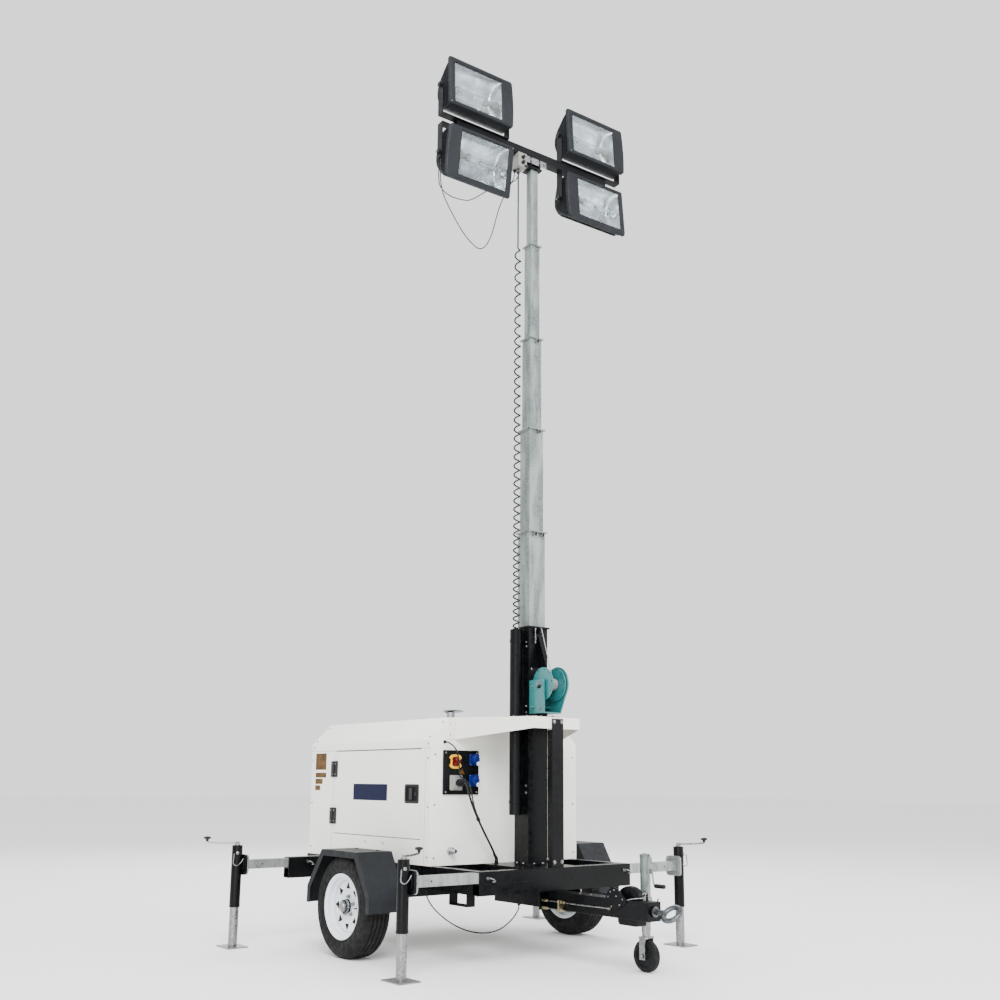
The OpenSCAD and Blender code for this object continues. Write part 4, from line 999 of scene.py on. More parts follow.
def rope_piece(name, path, body):
    """A round rope on the mast, with the lay's length and turn in its UV map."""
    path = mast_points(path)
    made = piece(name, tube(path, ROPE_R, 10), body, STEEL_ROPE, 60)
    run = np.concatenate([[0], np.cumsum(np.linalg.norm(np.diff(path, axis=0), axis=1))])
    co = np.empty(len(made.data.vertices) * 3)
    made.data.vertices.foreach_get("co", co)
    co = co.reshape(-1, 3)
    near = np.array([np.argmin(((path - c) ** 2).sum(1)) for c in co])
    _, side, up = frames(path)
    off = co - path[near]
    turn = np.arctan2((off * up[near]).sum(1), (off * side[near]).sum(1)) / (2 * math.pi)
    layer = made.data.uv_layers.new(name="lay")
    corner_of = np.empty(len(made.data.loops), int)
    made.data.loops.foreach_get("vertex_index", corner_of)
    layer.data.foreach_set("uv", np.stack([run[near], turn], -1)[corner_of].ravel())


def winch_fittings():
    """Bolt heads and ridges on the guard; the slot in the cheek and the holes near the discs' rims are thin
    dark plates of painted shade.
    """
    x0 = BASE_W / 2
    places = [((x0 + 0.045, s * 0.082, 1.532), (0, s, 0), 0.007) for s in (-1, 1)]
    places += [((DRUM_AT[0], s * 0.0902, DRUM_AT[2]), (0, s, 0), 0.0095) for s in (-1, 1)]
    places += [((x0 + 0.03, -0.0702, 1.665), RIGHT, 0.0075), ((x0 + 0.12, -0.0702, 1.52), RIGHT, 0.0075)]
    places += [((x0 + 0.0082, s * 0.045, z), FORWARD, 0.007) for s in (-1, 1) for z in (1.515, 1.69)]
    piece("winch_bolts", on_mast(heads(places)), "mast", BRIGHT_ZINC, 35)
    # Painted shade: a thin dark plate where the cheek's slot is
    slot = plate(outline_box(0.042, 0.016, 0.0075, 6), 0, 0.0006)
    hole = lay(slot, (x0 + 0.105, -0.0701, 1.655), FORWARD, UP, RIGHT)
    piece("winch_slot", on_mast(hole), "mast", PAINTED_SHADE_BLACK)
    # Painted shade: thin dark discs where the holes near the discs' rims are
    dots = [facing(disc(0.0042, 0.0003, 14), round_y(DRUM_AT, 0.094, t, s * face), (0, way, 0))
            for s in (-1, 1) for face, way in ((0.052, s), (0.046, -s))
            for t in np.radians(np.arange(10) * 36 + 8)]
    piece("disc_holes", on_mast(*dots), "winch", PAINTED_SHADE_BLACK)
    lip = []
    for t in np.radians(np.linspace(-62, 118, 25)):
        ridge = block((-0.004, -0.0055, -0.0012), (0.004, 0.0055, 0.0012), 0.001)
        out = np.array([math.cos(t), 0, math.sin(t)])
        lip.append(lay(ridge, round_y(DRUM_AT, 0.1125, t, 0.066), np.cross(LEFT, out), LEFT, out))
    piece("guard_ridges", on_mast(*lip), "mast", TEAL_PAINT)


mast_foot()
winch_rope()
winch_fittings()

# Mast head: bracket under the bar, head box glands
HEAD_FOOT = 5.315


def mast_head():
    """An angle bracket with two bolts under the bar, and the glands and knob of the head box."""
    low = BAR_Z - 0.032
    face = block((0.031, -0.10, low - 0.046), (0.036, 0.10, low + 0.002), 0.002)
    shelf_part = block((-0.036, -0.10, low - 0.005), (0.036, 0.10, low - 0.0003), 0.002)
    back = block((-0.036, -0.10, low - 0.046), (-0.031, 0.10, low + 0.002), 0.002)
    piece("bar_bracket", on_mast(face, shelf_part, back), "section_5", DULL_STEEL, 35)
    places = [((0.036, s * 0.082, low - 0.022), FORWARD, 0.009) for s in (-1, 1)]
    places += [((0.036, s * 0.04, low - 0.022), FORWARD, 0.007) for s in (-1, 1)]
    piece("bracket_bolts", on_mast(heads(places)), "section_5", BRIGHT_ZINC, 35)
    y = CURL_AT + 0.006
    glands = []
    for z in (HEAD_FOOT + 0.048, HEAD_FOOT + 0.088):
        nut = plate(outline_disc(0.0125, 12), 0, 0.009, 0.001)
        cap = spun([(0, 0.008), (0.0115, 0.008), (0.0125, 0.013), (0.0115, 0.020), (0.008, 0.0225),
                    (0, 0.023)], 24)
        glands.append(facing(join(nut, cap), (0.0452, y, z), FORWARD))
    glands.append(facing(spun([(0, 0), (0.006, 0), (0.006, 0.012), (0.010, 0.014), (0.010, 0.022),
                               (0, 0.024)], 20),
                         (0.0452, y + 0.022, HEAD_FOOT + 0.027), (1, 0.3, -0.5)))
    for dx, dy in ((0, 0), (-0.028, -0.134 - CURL_AT), (-0.028, -0.104 - CURL_AT)):
        nut = plate(outline_disc(0.0115, 10), 5.316, 5.3335, 0.0015)
        glands.append(shift(nut, dx, CURL_AT + dy, 0))
    piece("head_glands", on_mast(*glands), "section_5", BLACK_PLASTIC, 35)
    lid = block((-0.0455, y - 0.0365, 5.336), (-0.0435, y + 0.0365, 5.435), 0.0005)
    piece("head_lid", on_mast(lid), "section_5", GREY_PLASTIC)
    clip = block((-0.012, -0.7945, 5.170), (0.042, -0.7735, 5.1765), 0.002)
    piece("lead_clip", on_mast(clip), "section_5", BLACK_PLASTIC)


mast_head()

# Canopy: details of the front wall, the doors, the shelf and the post
WALL_Y = 0.616
PANEL_MID = (-0.3875, 1.120)
PANEL_SIZE = (0.279, 0.276)
PANEL_X = 0.012


def paint(made, material, test):
    """Gives the faces whose middles (n, 3) pass the test another finish."""
    made.data.materials.append(material)
    count = len(made.data.polygons)
    mids = np.empty(count * 3)
    made.data.polygons.foreach_get("center", mids)
    index = np.zeros(count, int)
    made.data.polygons.foreach_get("material_index", index)
    index[test(mids.reshape(-1, 3))] = len(made.data.materials) - 1
    made.data.polygons.foreach_set("material_index", index)


def on_front(shape, y, z, x=PANEL_X):
    """The surface set down on the front wall, its x to the left, y up and z outwards."""
    return lay(shape, (x, y, z), LEFT, UP, FORWARD)


def notched(w, h, notch):
    """A superellipse w by h with a rounded notch cut into the middle of each upright side."""
    c, s = polar(1.0, angles(96)).T
    power = 0.62
    x = w / 2 * np.sign(c) * np.abs(c) ** power
    y = h / 2 * np.sign(s) * np.abs(s) ** power
    cut = notch * np.clip(1 - (np.abs(y) / (0.24 * h)) ** 4, 0, 1)
    return np.stack([x - np.sign(x) * cut * (np.abs(x) > 0.3 * w), y], -1)


def isolator():
    """A notched yellow collar round a sunk red disc, with a three-winged red knob."""
    y, z = -0.440, 1.187
    w, h = 0.094, 0.089
    outer, inner = notched(w, h, 0.012), notched(w * 0.66, h * 0.66, 0.004)
    collar = stack([(inner, 0.001), (outer, 0.001), (outer, 0.0115), (inset(outer, 0.002), 0.0135),
                    (inset(inner, -0.002), 0.0135), (inner, 0.0115)], loop=True)
    piece("isolator_collar", on_front(collar, y, z), "trailer", YELLOW_PLASTIC, 40)
    a = angles(72)
    knob = plate(polar(0.017 + 0.011 * np.cos(3 * a + 0.5) ** 3, a), 0.004, 0.034, 0.004)
    dish = plate(inset(inner, 0.0006), 0.0, 0.005, 0.001)
    grip = block((-0.0045, -0.022, 0.03), (0.0045, 0.022, 0.038), 0.003)
    piece("isolator_knob", on_front(join(knob, dish, facing(grip, (0, 0, 0), (0, 0, 1), 25)), y, z),
          "trailer", RED_PLASTIC, 40)


def blue_socket(name, y, z):
    """A square flange with four screws, a leaning round body, its hooded lid and the white lens below it."""
    base = plate(outline_box(0.074, 0.074, 0.012), 0.0, 0.007, 0.0015)
    lean = np.array([0, -0.32, 1.0])
    body = facing(spun([(0, 0), (0.030, 0), (0.030, 0.022), (0.028, 0.026), (0, 0.026)], 36),
                  (0, 0.002, 0.004), lean)
    arc = polar(0.033, np.linspace(0, math.pi, 20), flat=0.9)
    hood = np.concatenate([arc, [(-0.033, -0.012), (0.033, -0.012)]])
    lid = facing(plate(hood, 0.0, 0.011, 0.0025), (0, 0.0, 0.030), (0, -0.2, 1.0), 180)
    ear = block((-0.012, 0.024, 0.006), (0.012, 0.037, 0.036), 0.004)
    piece(name, on_front(join(base, body, lid, ear), y, z), "trailer", BLUE_PLASTIC, 38)
    lens = spun([(0, 0), (0.013, 0), (0.0145, 0.006), (0.012, 0.012), (0, 0.013)], 24)
    piece(name + "_lens", on_front(facing(lens, (0.010, -0.022, 0.026), (0, -0.3, 1.0)), y, z), "trailer",
          WHITE_PLASTIC)
    screws = [((dx, dy, 0.0065), UP, 0.0032) for dx in (-0.031, 0.031) for dy in (-0.031, 0.031)]
    piece(name + "_screws", on_front(heads(screws, screw_cap), y, z), "trailer", BRIGHT_ZINC)


def flap_socket():
    """A grey box frame with a ribbed, smoky flap and its hinge above."""
    y, z = -0.434, 1.056
    frame_part = join(plate(outline_box(0.094, 0.094, 0.008), 0.0, 0.014, 0.002),
                      plate(outline_box(0.066, 0.082, 0.016), 0.014, 0.026, 0.003))
    piece("flap_socket_frame", on_front(frame_part, y, z), "trailer", GREY_PLASTIC, 38)
    ribs = [block((x - 0.0016, -0.030, 0.025), (x + 0.0016, 0.030, 0.0285), 0.001)
            for x in np.linspace(-0.022, 0.022, 6)]
    rim = hoop((0.060, 0.076, 0.014, 0.026), (0.060, 0.076, 0.014, 0.029),
               (0.052, 0.068, 0.010, 0.029), (0.052, 0.068, 0.010, 0.026))
    hinge = lay(rod(0.004, -0.024, 0.024), (0, 0.040, 0.024), LEFT, UP, FORWARD)
    piece("flap_socket_flap", on_front(join(rim, hinge, *ribs), y, z), "trailer", SMOKE_PLASTIC, 38)


def front_wall():
    """The black panel with its screws, sockets and blank triangle, and the pipe fitting low on the wall."""
    w, h = PANEL_SIZE
    sheet = on_front(plate(outline_box(w, h, 0.006), 0.0, PANEL_X - 0.0003, 0.0012), *PANEL_MID, x=0.0003)
    plate_made = piece("panel_plate", sheet, "trailer", BLACK_COAT, 38)
    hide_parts("control_panel")
    inx, inz = w / 2 - 0.017, h / 2 - 0.016
    corners = [((sx * inx, sz * inz, 0.0), UP, 0.0065) for sx in (-1, 1) for sz in (-1, 1)]
    piece("panel_screws", on_front(heads(corners, screw_cap), *PANEL_MID), "trailer", BRIGHT_ZINC)
    isolator()
    blue_socket("upper_blue_socket", -0.290, 1.201)
    blue_socket("lower_blue_socket", -0.290, 1.070)
    flap_socket()
    triangle = np.array([(-0.021, -0.018), (0.021, -0.018), (0.0, 0.019)])
    piece("amber_triangle", on_front(plate(triangle, 0.0, 0.0006), -0.383, 1.128), "trailer", AMBER_FILM)
    nut = plate(hexagon(0.0255), 0.0, 0.016, 0.002)
    second = shift(plate(hexagon(0.021), 0.0, 0.014, 0.002), dz=0.018)
    thread = [(0.0125 + 0.0011 * (i % 2), 0.031 + 0.0015 * i) for i in range(20)]
    mouth = [(0.011, 0.062), (0.009, 0.062), (0.009, 0.045), (0, 0.045)]
    nipple = spun([(0, 0.0), (0.0155, 0.0), (0.0155, 0.031)] + thread + mouth, 28)
    piece("pipe_fitting", on_front(join(nut, second, nipple), -0.460, 0.639, 0.0), "trailer", DULL_STEEL, 35)
    grommet = spun([(0, 0), (0.011, 0), (0.010, 0.006), (0.006, 0.009), (0, 0.009)], 24)
    piece("wall_grommet", on_front(grommet, -0.514, 1.309, 0.0), "trailer", RUBBER)


LOOP_ROUTE = [(0.004, -0.514, 1.309), (0.020, -0.510, 1.308), (0.034, -0.498, 1.300), (0.046, -0.480, 1.284),
              (0.055, -0.464, 1.260), (0.060, -0.454, 1.230), (0.0605, -0.447, 1.195), (0.060, -0.442, 1.160),
              (0.056, -0.436, 1.125), (0.054, -0.428, 1.098), (0.070, -0.410, 1.078), (0.098, -0.396, 1.050),
              (0.118, -0.392, 1.015), (0.130, -0.390, 0.975), (0.131, -0.380, 0.935), (0.127, -0.362, 0.893),
              (0.121, -0.340, 0.858), (0.115, -0.3145, 0.822)]


def sense_lead():
    """The thin cable from the wall's grommet, past the isolator and down to the plug's lead, taped to it."""
    path = smooth_path(LOOP_ROUTE, 5)
    cable = piece("sense_lead", tube(path, 0.0045, 10), "trailer", CABLE_SKIN, 60)
    tie = tube(smooth_path([(0.108, -0.327, 0.838), (0.106, -0.320, 0.829)], 2), 0.0125, 14)
    piece("lead_tie", tie, "trailer", RUBBER, 50)


HINGE_FIXED_X = -1.187
HINGE_DOOR_X = -1.143
HINGE_Z = (0.824, 1.143)
LATCH_AT = (-0.205, 0.985)


def hinge_screws(s, x):
    """Two silver heads on the leaf at x of both hinges of a door."""
    places = [((x, s * (WALL_Y + 0.009), z + dz), (0, s, 0), 0.0055)
              for z in HINGE_Z for dz in (-0.036, 0.036)]
    return heads(places, screw_cap)


def lay_on_side(shape, s, x=0.0, z=0.0):
    """The surface set down on a side wall: x forwards, y up, z outwards."""
    return lay(shape, (x, s * WALL_Y, z), FORWARD, UP, (0, s, 0))


def door_furniture(s, body, word):
    """Latch with its frame, paddle and lock; hinge screws; on the right a bare navy plate."""
    rim = hoop((0.160, 0.120, 0.014, -0.0125), (0.160, 0.120, 0.014, 0.0015), (0.154, 0.114, 0.012, 0.0035),
               (0.128, 0.092, 0.012, 0.0035), (0.122, 0.086, 0.010, -0.0032), (0.122, 0.086, 0.010, -0.0125))
    piece(word + "_latch_frame", lay_on_side(rim, s, *LATCH_AT), body, BLACK_PLASTIC, 35)
    bar = np.array([(-0.020, 0.0), (0.020, 0.0), (0.020, 0.0022), (0.004, 0.0052), (-0.020, 0.0058)])
    paddle = skin([np.column_stack([np.full(5, v), bar[:, 0], bar[:, 1]]) for v in (-0.036, 0.036)])
    paddle = lay(paddle, (-0.012, 0, -0.0029), LEFT, (-1, 0, 0))
    lock = spun([(0, 0), (0.011, 0), (0.011, 0.0032), (0.0095, 0.0044), (0, 0.0044)], 28)
    both = join(paddle, shift(lock, 0.042, 0, -0.0029))
    piece(word + "_latch_paddle", lay_on_side(both, s, *LATCH_AT), body, BLACK_PLASTIC, 35)
    piece(word + "_hinge_screws", hinge_screws(s, HINGE_DOOR_X), body, BRIGHT_ZINC)
    piece(word + "_hinge_screws_fixed", hinge_screws(s, HINGE_FIXED_X), "trailer", BRIGHT_ZINC)
    if s < 0:
        film = plate(outline_box(0.419, 0.107, 0.001), 0.0, 0.0007, 0.0002)
        piece("blank_navy_plate", lay_on_side(film, s, -0.6975, 0.990), body, NAVY_FILM)


# x, z, width and height of each sticker
STICKERS = [(-1.358, 1.196, 0.150, 0.116), (-1.356, 1.101, 0.150, 0.034), (-1.379, 1.057, 0.102, 0.037),
            (-1.394, 1.012, 0.073, 0.034)]
SIDE_SCREWS = [(-0.031, 1.206), (-0.027, 0.906), (-0.029, 0.604), (-1.472, 1.203), (-1.467, 0.907),
               (-1.463, 0.603), (-0.738, 0.667), (-0.522, 0.667)]
SCREW_ROWS = (0.60, 0.92, 1.23)
SCREW_R = 0.0062
# x, lower and upper end of each upright seam of a side wall
SEAMS = [(-1.176, 0.560, 0.760), (-1.176, 0.886, 1.080), (-1.176, 1.206, 1.266), (-0.060, 0.560, 1.266)]


def wall_trim():
    """Screws and seams of the walls and the roof's shoulders, the seams thin dark strips of painted shade,
    and blank stickers on the right wall.
    """
    screws, seams = [], []
    for s in (-1, 1):
        screws += [((x, s * WALL_Y, z), (0, s, 0), SCREW_R) for x, z in SIDE_SCREWS]
        screws += [((x, s * 0.6161, 1.296), (0, s, 0), SCREW_R) for x in (-0.032, -1.458)]
        seams += [lay_on_side(block((x - 0.001, z0, -0.001), (x + 0.001, z1, 0.0003), 0.0005), s)
                  for x, z0, z1 in SEAMS]
        seams.append(lay_on_side(block((-1.486, 1.2685, -0.002), (-0.004, 1.2705, 0.0002), 0.0005), s))
        slope = np.array([0.0, s * 0.707, 0.707])
        screws += [((x, s * y, z), slope, SCREW_R)
                   for y, z in ((0.597, 1.340), (0.500, 1.437)) for x in (-0.040, -1.450)]
    screws += [((-1.490, y, z), (-1, 0, 0), SCREW_R) for y in (-0.58, -0.2, 0.2, 0.58) for z in SCREW_ROWS]
    screws += [((0.0, s * 0.585, z), FORWARD, SCREW_R) for s in (-1, 1) for z in SCREW_ROWS]
    screws += [((0.0, s * 0.473, z), FORWARD, 0.0065) for s in (-1, 1) for z in (1.355, 1.425)]
    piece("wall_screws", heads(screws, screw_cap), "trailer", BRIGHT_ZINC)
    # Painted shade: the seams are thin dark strips in place of the shade in the grooves
    piece("wall_seams", join(*seams), "trailer", PAINTED_SHADE_BLACK)
    films = [lay_on_side(plate(outline_box(w, h, 0.003), 0.0, 0.0005, 0.0001), -1, x, z)
             for x, z, w, h in STICKERS]
    piece("blank_amber_films", join(*films), "trailer", AMBER_FILM)


def shelf_and_post():
    """End tabs of the shelf's flange, bolts through the post's top and foot, and the shelf's screws."""
    tabs = [block((0.0004, s * 0.436, 1.327), (0.004, s * 0.490, 1.462), 0.001) for s in (-1, 1)]
    piece("shelf_tabs", join(*tabs), "trailer", SHELF_PAINT)
    x = 0.4963
    places = [((x, s * 0.031, z), FORWARD, 0.0095) for s in (-1, 1) for z in (1.436, 0.584)]
    places += [((0.456, s * 0.047, 0.60), (0, s, 0), 0.008) for s in (-1, 1)]
    piece("post_bolts", heads(places), "trailer", BRIGHT_ZINC, 35)
    places = [((x0, s * y0, 1.465), UP, 0.0075) for s in (-1, 1) for x0, y0 in ((0.05, 0.36), (0.46, 0.15))]
    piece("shelf_top_screws", heads(places, screw_cap), "trailer", BRIGHT_ZINC)


front_wall()
sense_lead()
door_furniture(-1, "right_door", "right")
door_furniture(1, "left_door", "left")
wall_trim()
shelf_and_post()


def proud(p):
    """Faces that stand out of a side wall: the leaves of the hinges."""
    return np.abs(p[:, 1]) > WALL_Y + 0.0001


def sunk(p):
    """Faces in the latch's pocket: the latch's black plastic, made darker there as painted shade."""
    depth = WALL_Y - np.abs(p[:, 1])
    near = (np.abs(p[:, 0] - LATCH_AT[0]) < 0.0755) & (np.abs(p[:, 2] - LATCH_AT[1]) < 0.0555)
    return near & (depth > 0.0025) & (depth < 0.0145)


for which in ("door_right", "door_left"):
    door = dress(which, WHITE_PAINT, 0.002)
    paint(door, BLACK_PLASTIC, proud)
    # Painted shade over the latch's black pocket: its faces are made darker than the black plastic
    paint(door, PAINTED_SHADE_BLACK, sunk)
paint(dress("canopy", WHITE_PAINT, 0.003), BLACK_PLASTIC, proud)


def exhaust_flap():
    """The rain flap: a thin oval leaf, wider than the pipe, on its hinge and tipped up a little."""
    leaf = plate(polar(0.040, angles(48), flat=1.95), 0.0, 0.0030, 0.0008)
    c, n = math.cos(math.radians(-10)), math.sin(math.radians(-10))
    made = lay(leaf, (-0.122, -0.358, 1.512), (c, 0, -n), LEFT, (n, 0, c))
    pin = facing(rod(0.004, -0.020, 0.020), (-0.157, -0.377, 1.504), LEFT)
    piece("rain_flap", join(made, pin), "trailer", ZINC, 35)


exhaust_flap()

# Chassis, jacks, drawbar and jockey wheel
ARM_Z = 0.517
JACK_R = 0.034
JACK_LOW = 0.250
CRANK = 0.196
# x, y and direction of the crank in degrees of each jack
JACKS = {"front_right": (0.470, -1.124, 120), "front_left": (0.470, 1.124, 68),
         "rear_right": (-1.208, -1.306, 240), "rear_left": (-1.208, 1.306, 120)}


PIN_ROD_R = 0.0036


def pull_pin(at, out):
    """A zinc plunger: its boss and a rod that bends over into a finger loop. out is the way it points."""
    out = np.array(out, float)
    at = np.array(at, float)
    across = np.cross(UP, out)
    boss = facing(spun([(0, 0), (0.0105, 0), (0.0105, 0.006), (0.008, 0.009), (0.008, 0.014), (0, 0.014)],
                       20), at, out)
    steps = [(0.010, 0, 0), (0.022, 0.0, 0.002), (0.032, 0.006, 0.001), (0.036, 0.020, -0.006),
             (0.031, 0.034, -0.016), (0.020, 0.038, -0.022), (0.011, 0.030, -0.019)]
    path = [at + out * a + across * b + UP * c for a, b, c in steps]
    return join(boss, tube(smooth_path(path, 6), PIN_ROD_R, 10))


def jack_body(x, y, s):
    """Tube with a mouth ring and a cap, the swivel plate with a pressed ring, its block and its pin."""
    mouth = turned([(0.0295, JACK_LOW), (JACK_R, JACK_LOW), (JACK_R, 0.634), (0.0325, 0.638),
                    (0.0295, 0.638)], 48)
    lip = turned([(0.0335, JACK_LOW), (0.0352, JACK_LOW + 0.001), (0.0352, JACK_LOW + 0.011),
                  (0.0335, JACK_LOW + 0.012)], 48)
    cap = spun([(0, 0.622), (0.0296, 0.622), (0.0296, 0.634), (0.0345, 0.634), (0.0345, 0.639),
                (0.033, 0.6405), (0, 0.6405)], 48)
    face = plate(outline_box(0.130, 0.130, 0.025, 8), 0.030, 0.044, 0.0015)
    ring = turned([(0.036, 0.0305), (0.038, 0.0275), (0.043, 0.0275), (0.045, 0.0305)], 40)
    pin = rod(0.022, 0.043, 0.076, 0.002)
    sideways = lay(join(face, ring, pin), (0, 0, ARM_Z), FORWARD, UP, (0, -s, 0))
    bridge = block((-0.026, 0, ARM_Z - 0.045), (0.026, -s * 0.036, ARM_Z + 0.045), 0.004)
    return shift(join(mouth, lip, cap, bridge, sideways), x, y)


def crank(x, y, turn):
    """Hexagon and cone on the tube's top, and a round rod bent outwards and then up to the knob."""
    a = math.radians(turn)
    out = np.array([math.cos(a), math.sin(a), 0.0])
    nut = plate(hexagon(0.019), 0.640, 0.648, 0.0015)
    cone = spun([(0, 0.647), (0.013, 0.647), (0.0115, 0.658), (0.0115, 0.664), (0.009, 0.666), (0, 0.666)],
                24)
    eye = lay(rod(0.0035, -0.017, 0.017), (0, 0, 0.657), UP, np.cross(UP, out), out)
    steps = [(-0.008, 0.658), (0.02, 0.658), (0.07, 0.6565), (0.13, 0.658), (0.183, 0.6605), (0.194, 0.663),
             (0.1995, 0.669), (CRANK, 0.682)]
    arm = tube(smooth_path([out * r + UP * z for r, z in steps], 6), 0.0062, 12)
    return shift(join(nut, cone, eye, arm), x, y)


def crank_knob(x, y, turn):
    """A black knob of six lobes on a short neck."""
    a = math.radians(turn)
    neck = spun([(0, 0.668), (0.0085, 0.668), (0.0095, 0.675), (0.012, 0.682), (0, 0.682)], 24)
    star = plate(lobed(0.0230, 6, 72), 0.6805, 0.6960, 0.0042)
    button = spun([(0, 0.6955), (0.010, 0.6955), (0.009, 0.6978), (0, 0.6982)], 24)
    return shift(join(neck, star, button), x + CRANK * math.cos(a), y + CRANK * math.sin(a))


def make_jack(word, x, y, turn):
    """One jack in its three finishes, with its stowing pin, the swivel's bolts and thin dark discs of painted
    shade for the arm's holes.
    """
    s = -1 if y < 0 else 1
    body = word + "_jack"
    shell = piece(word + "_jack_tube", jack_body(x, y, s), body, BLACK_COAT, 32)
    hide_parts("jack_" + word)
    piece(word + "_jack_crank", crank(x, y, turn), body, BRIGHT_ZINC, 40)
    piece(word + "_jack_knob", crank_knob(x, y, turn), body, BLACK_PLASTIC, 40)
    hook = [(0.036, 0.037, 0.590), (0.038, 0.040, 0.560), (0.039, 0.043, 0.535), (0.041, 0.036, 0.519),
            (0.042, 0.018, 0.514), (0.041, 0.000, 0.522), (0.039, -0.018, 0.541), (0.037, -0.028, 0.556)]
    path = [(x + dx, y + s * dy, z) for dx, dy, z in hook]
    boss = spun([(0, 0), (0.010, 0), (0.010, 0.006), (0.006, 0.008), (0, 0.008)], 20)
    boss = facing(boss, (x + 0.031, y + s * 0.012, 0.592), (1, 0.25 * s, 0))
    piece(word + "_stow_pin", join(tube(smooth_path(path, 6), PIN_ROD_R, 10), boss), body, BRIGHT_ZINC, 40)
    bolts = [((x + sx * 0.048, y - s * 0.030, ARM_Z + sz * 0.048), (0, s, 0), 0.006)
             for sx in (-1, 1) for sz in (-1, 1)]
    piece(word + "_swivel_bolts", heads(bolts, screw_cap), body, BLACK_COAT)
    # Painted shade: thin dark discs where the arm's holes are
    holes = [facing(disc(0.0055, 0.0004), (x + sx * 0.0295, y - s * 0.17, ARM_Z), (sx, 0, 0))
             for sx in (-1, 1)]
    piece(word + "_arm_holes", join(*holes), word + "_arm", PAINTED_SHADE_BLACK)


def chassis_trim():
    """The beam's seam, a thin dark strip of painted shade, and its welds, the sleeves' pull pins and mouths,
    nipples, and two leads' sleeves.
    """
    welds = []
    for y in np.linspace(-0.56, 0.56, 17):
        run = np.array([(0.5045, y - 0.020, 0.482), (0.5050, y, 0.4822), (0.5045, y + 0.020, 0.482)])
        welds.append(tube(smooth_path(run, 4), 0.0016, 8))
    # Painted shade: a thin dark strip along the beam's seam
    seam = block((0.5043, -0.617, 0.4811), (0.5053, 0.617, 0.4823), 0.0003)
    piece("beam_seam", seam, "trailer", PAINTED_SHADE_BLACK)
    piece("beam_welds", join(*welds), "trailer", BLACK_COAT, 50)
    pins = [pull_pin((0.505, s * 0.560, 0.514), FORWARD) for s in (-1, 1)]
    pins += [pull_pin((-1.173, s * 0.800, 0.520), FORWARD) for s in (-1, 1)]
    piece("pull_pins", join(*pins), "trailer", BRIGHT_ZINC, 40)
    nipple = spun([(0, 0), (0.004, 0), (0.004, 0.005), (0.0025, 0.006), (0.003, 0.010), (0, 0.011)], 14)
    nipples = [facing(nipple, (0.470, s * 0.606, 0.417), (0, 0, -1)) for s in (-1, 1)]
    piece("grease_nipples", join(*nipples), "trailer", BRASS)
    mouth = hoop((0.0695, 0.0695, 0.006, 0.0), (0.0675, 0.0675, 0.006, 0.0012),
                 (0.0605, 0.0605, 0.004, 0.0012), (0.0600, 0.0600, 0.004, -0.002))
    mouths = [lay(mouth, (x, s * y, ARM_Z), FORWARD, UP, (0, s, 0))
              for s in (-1, 1) for x, y in ((0.470, 0.618), (-1.208, 0.940))]
    piece("sleeve_mouths", join(*mouths), "trailer", BLACK_COAT)
    relief_path = smooth_path(np.array([(48, -125.5, 566), (48, -126, 586), (52, -141, 603),
                                        (55, -150, 616)]) * MM)
    steps = np.linspace(0, 1, len(relief_path))
    width = 0.0118 - 0.0038 * steps + 0.0005 * np.sign(np.sin(steps * 40))
    piece("lead_relief", tube(relief_path, width, 16), "trailer", RUBBER, 50)
    small = smooth_path(np.array([(-60, -590, 405), (-60, -590, 385), (-58, -585, 366)]) * MM)
    taper = 0.0068 - 0.0022 * np.linspace(0, 1, len(small))
    piece("brake_lead_relief", tube(small, taper, 14), "trailer", RUBBER, 50)


DRAWBAR_TOP = 0.416
ROD_HEIGHTS = (0.318, 0.362)


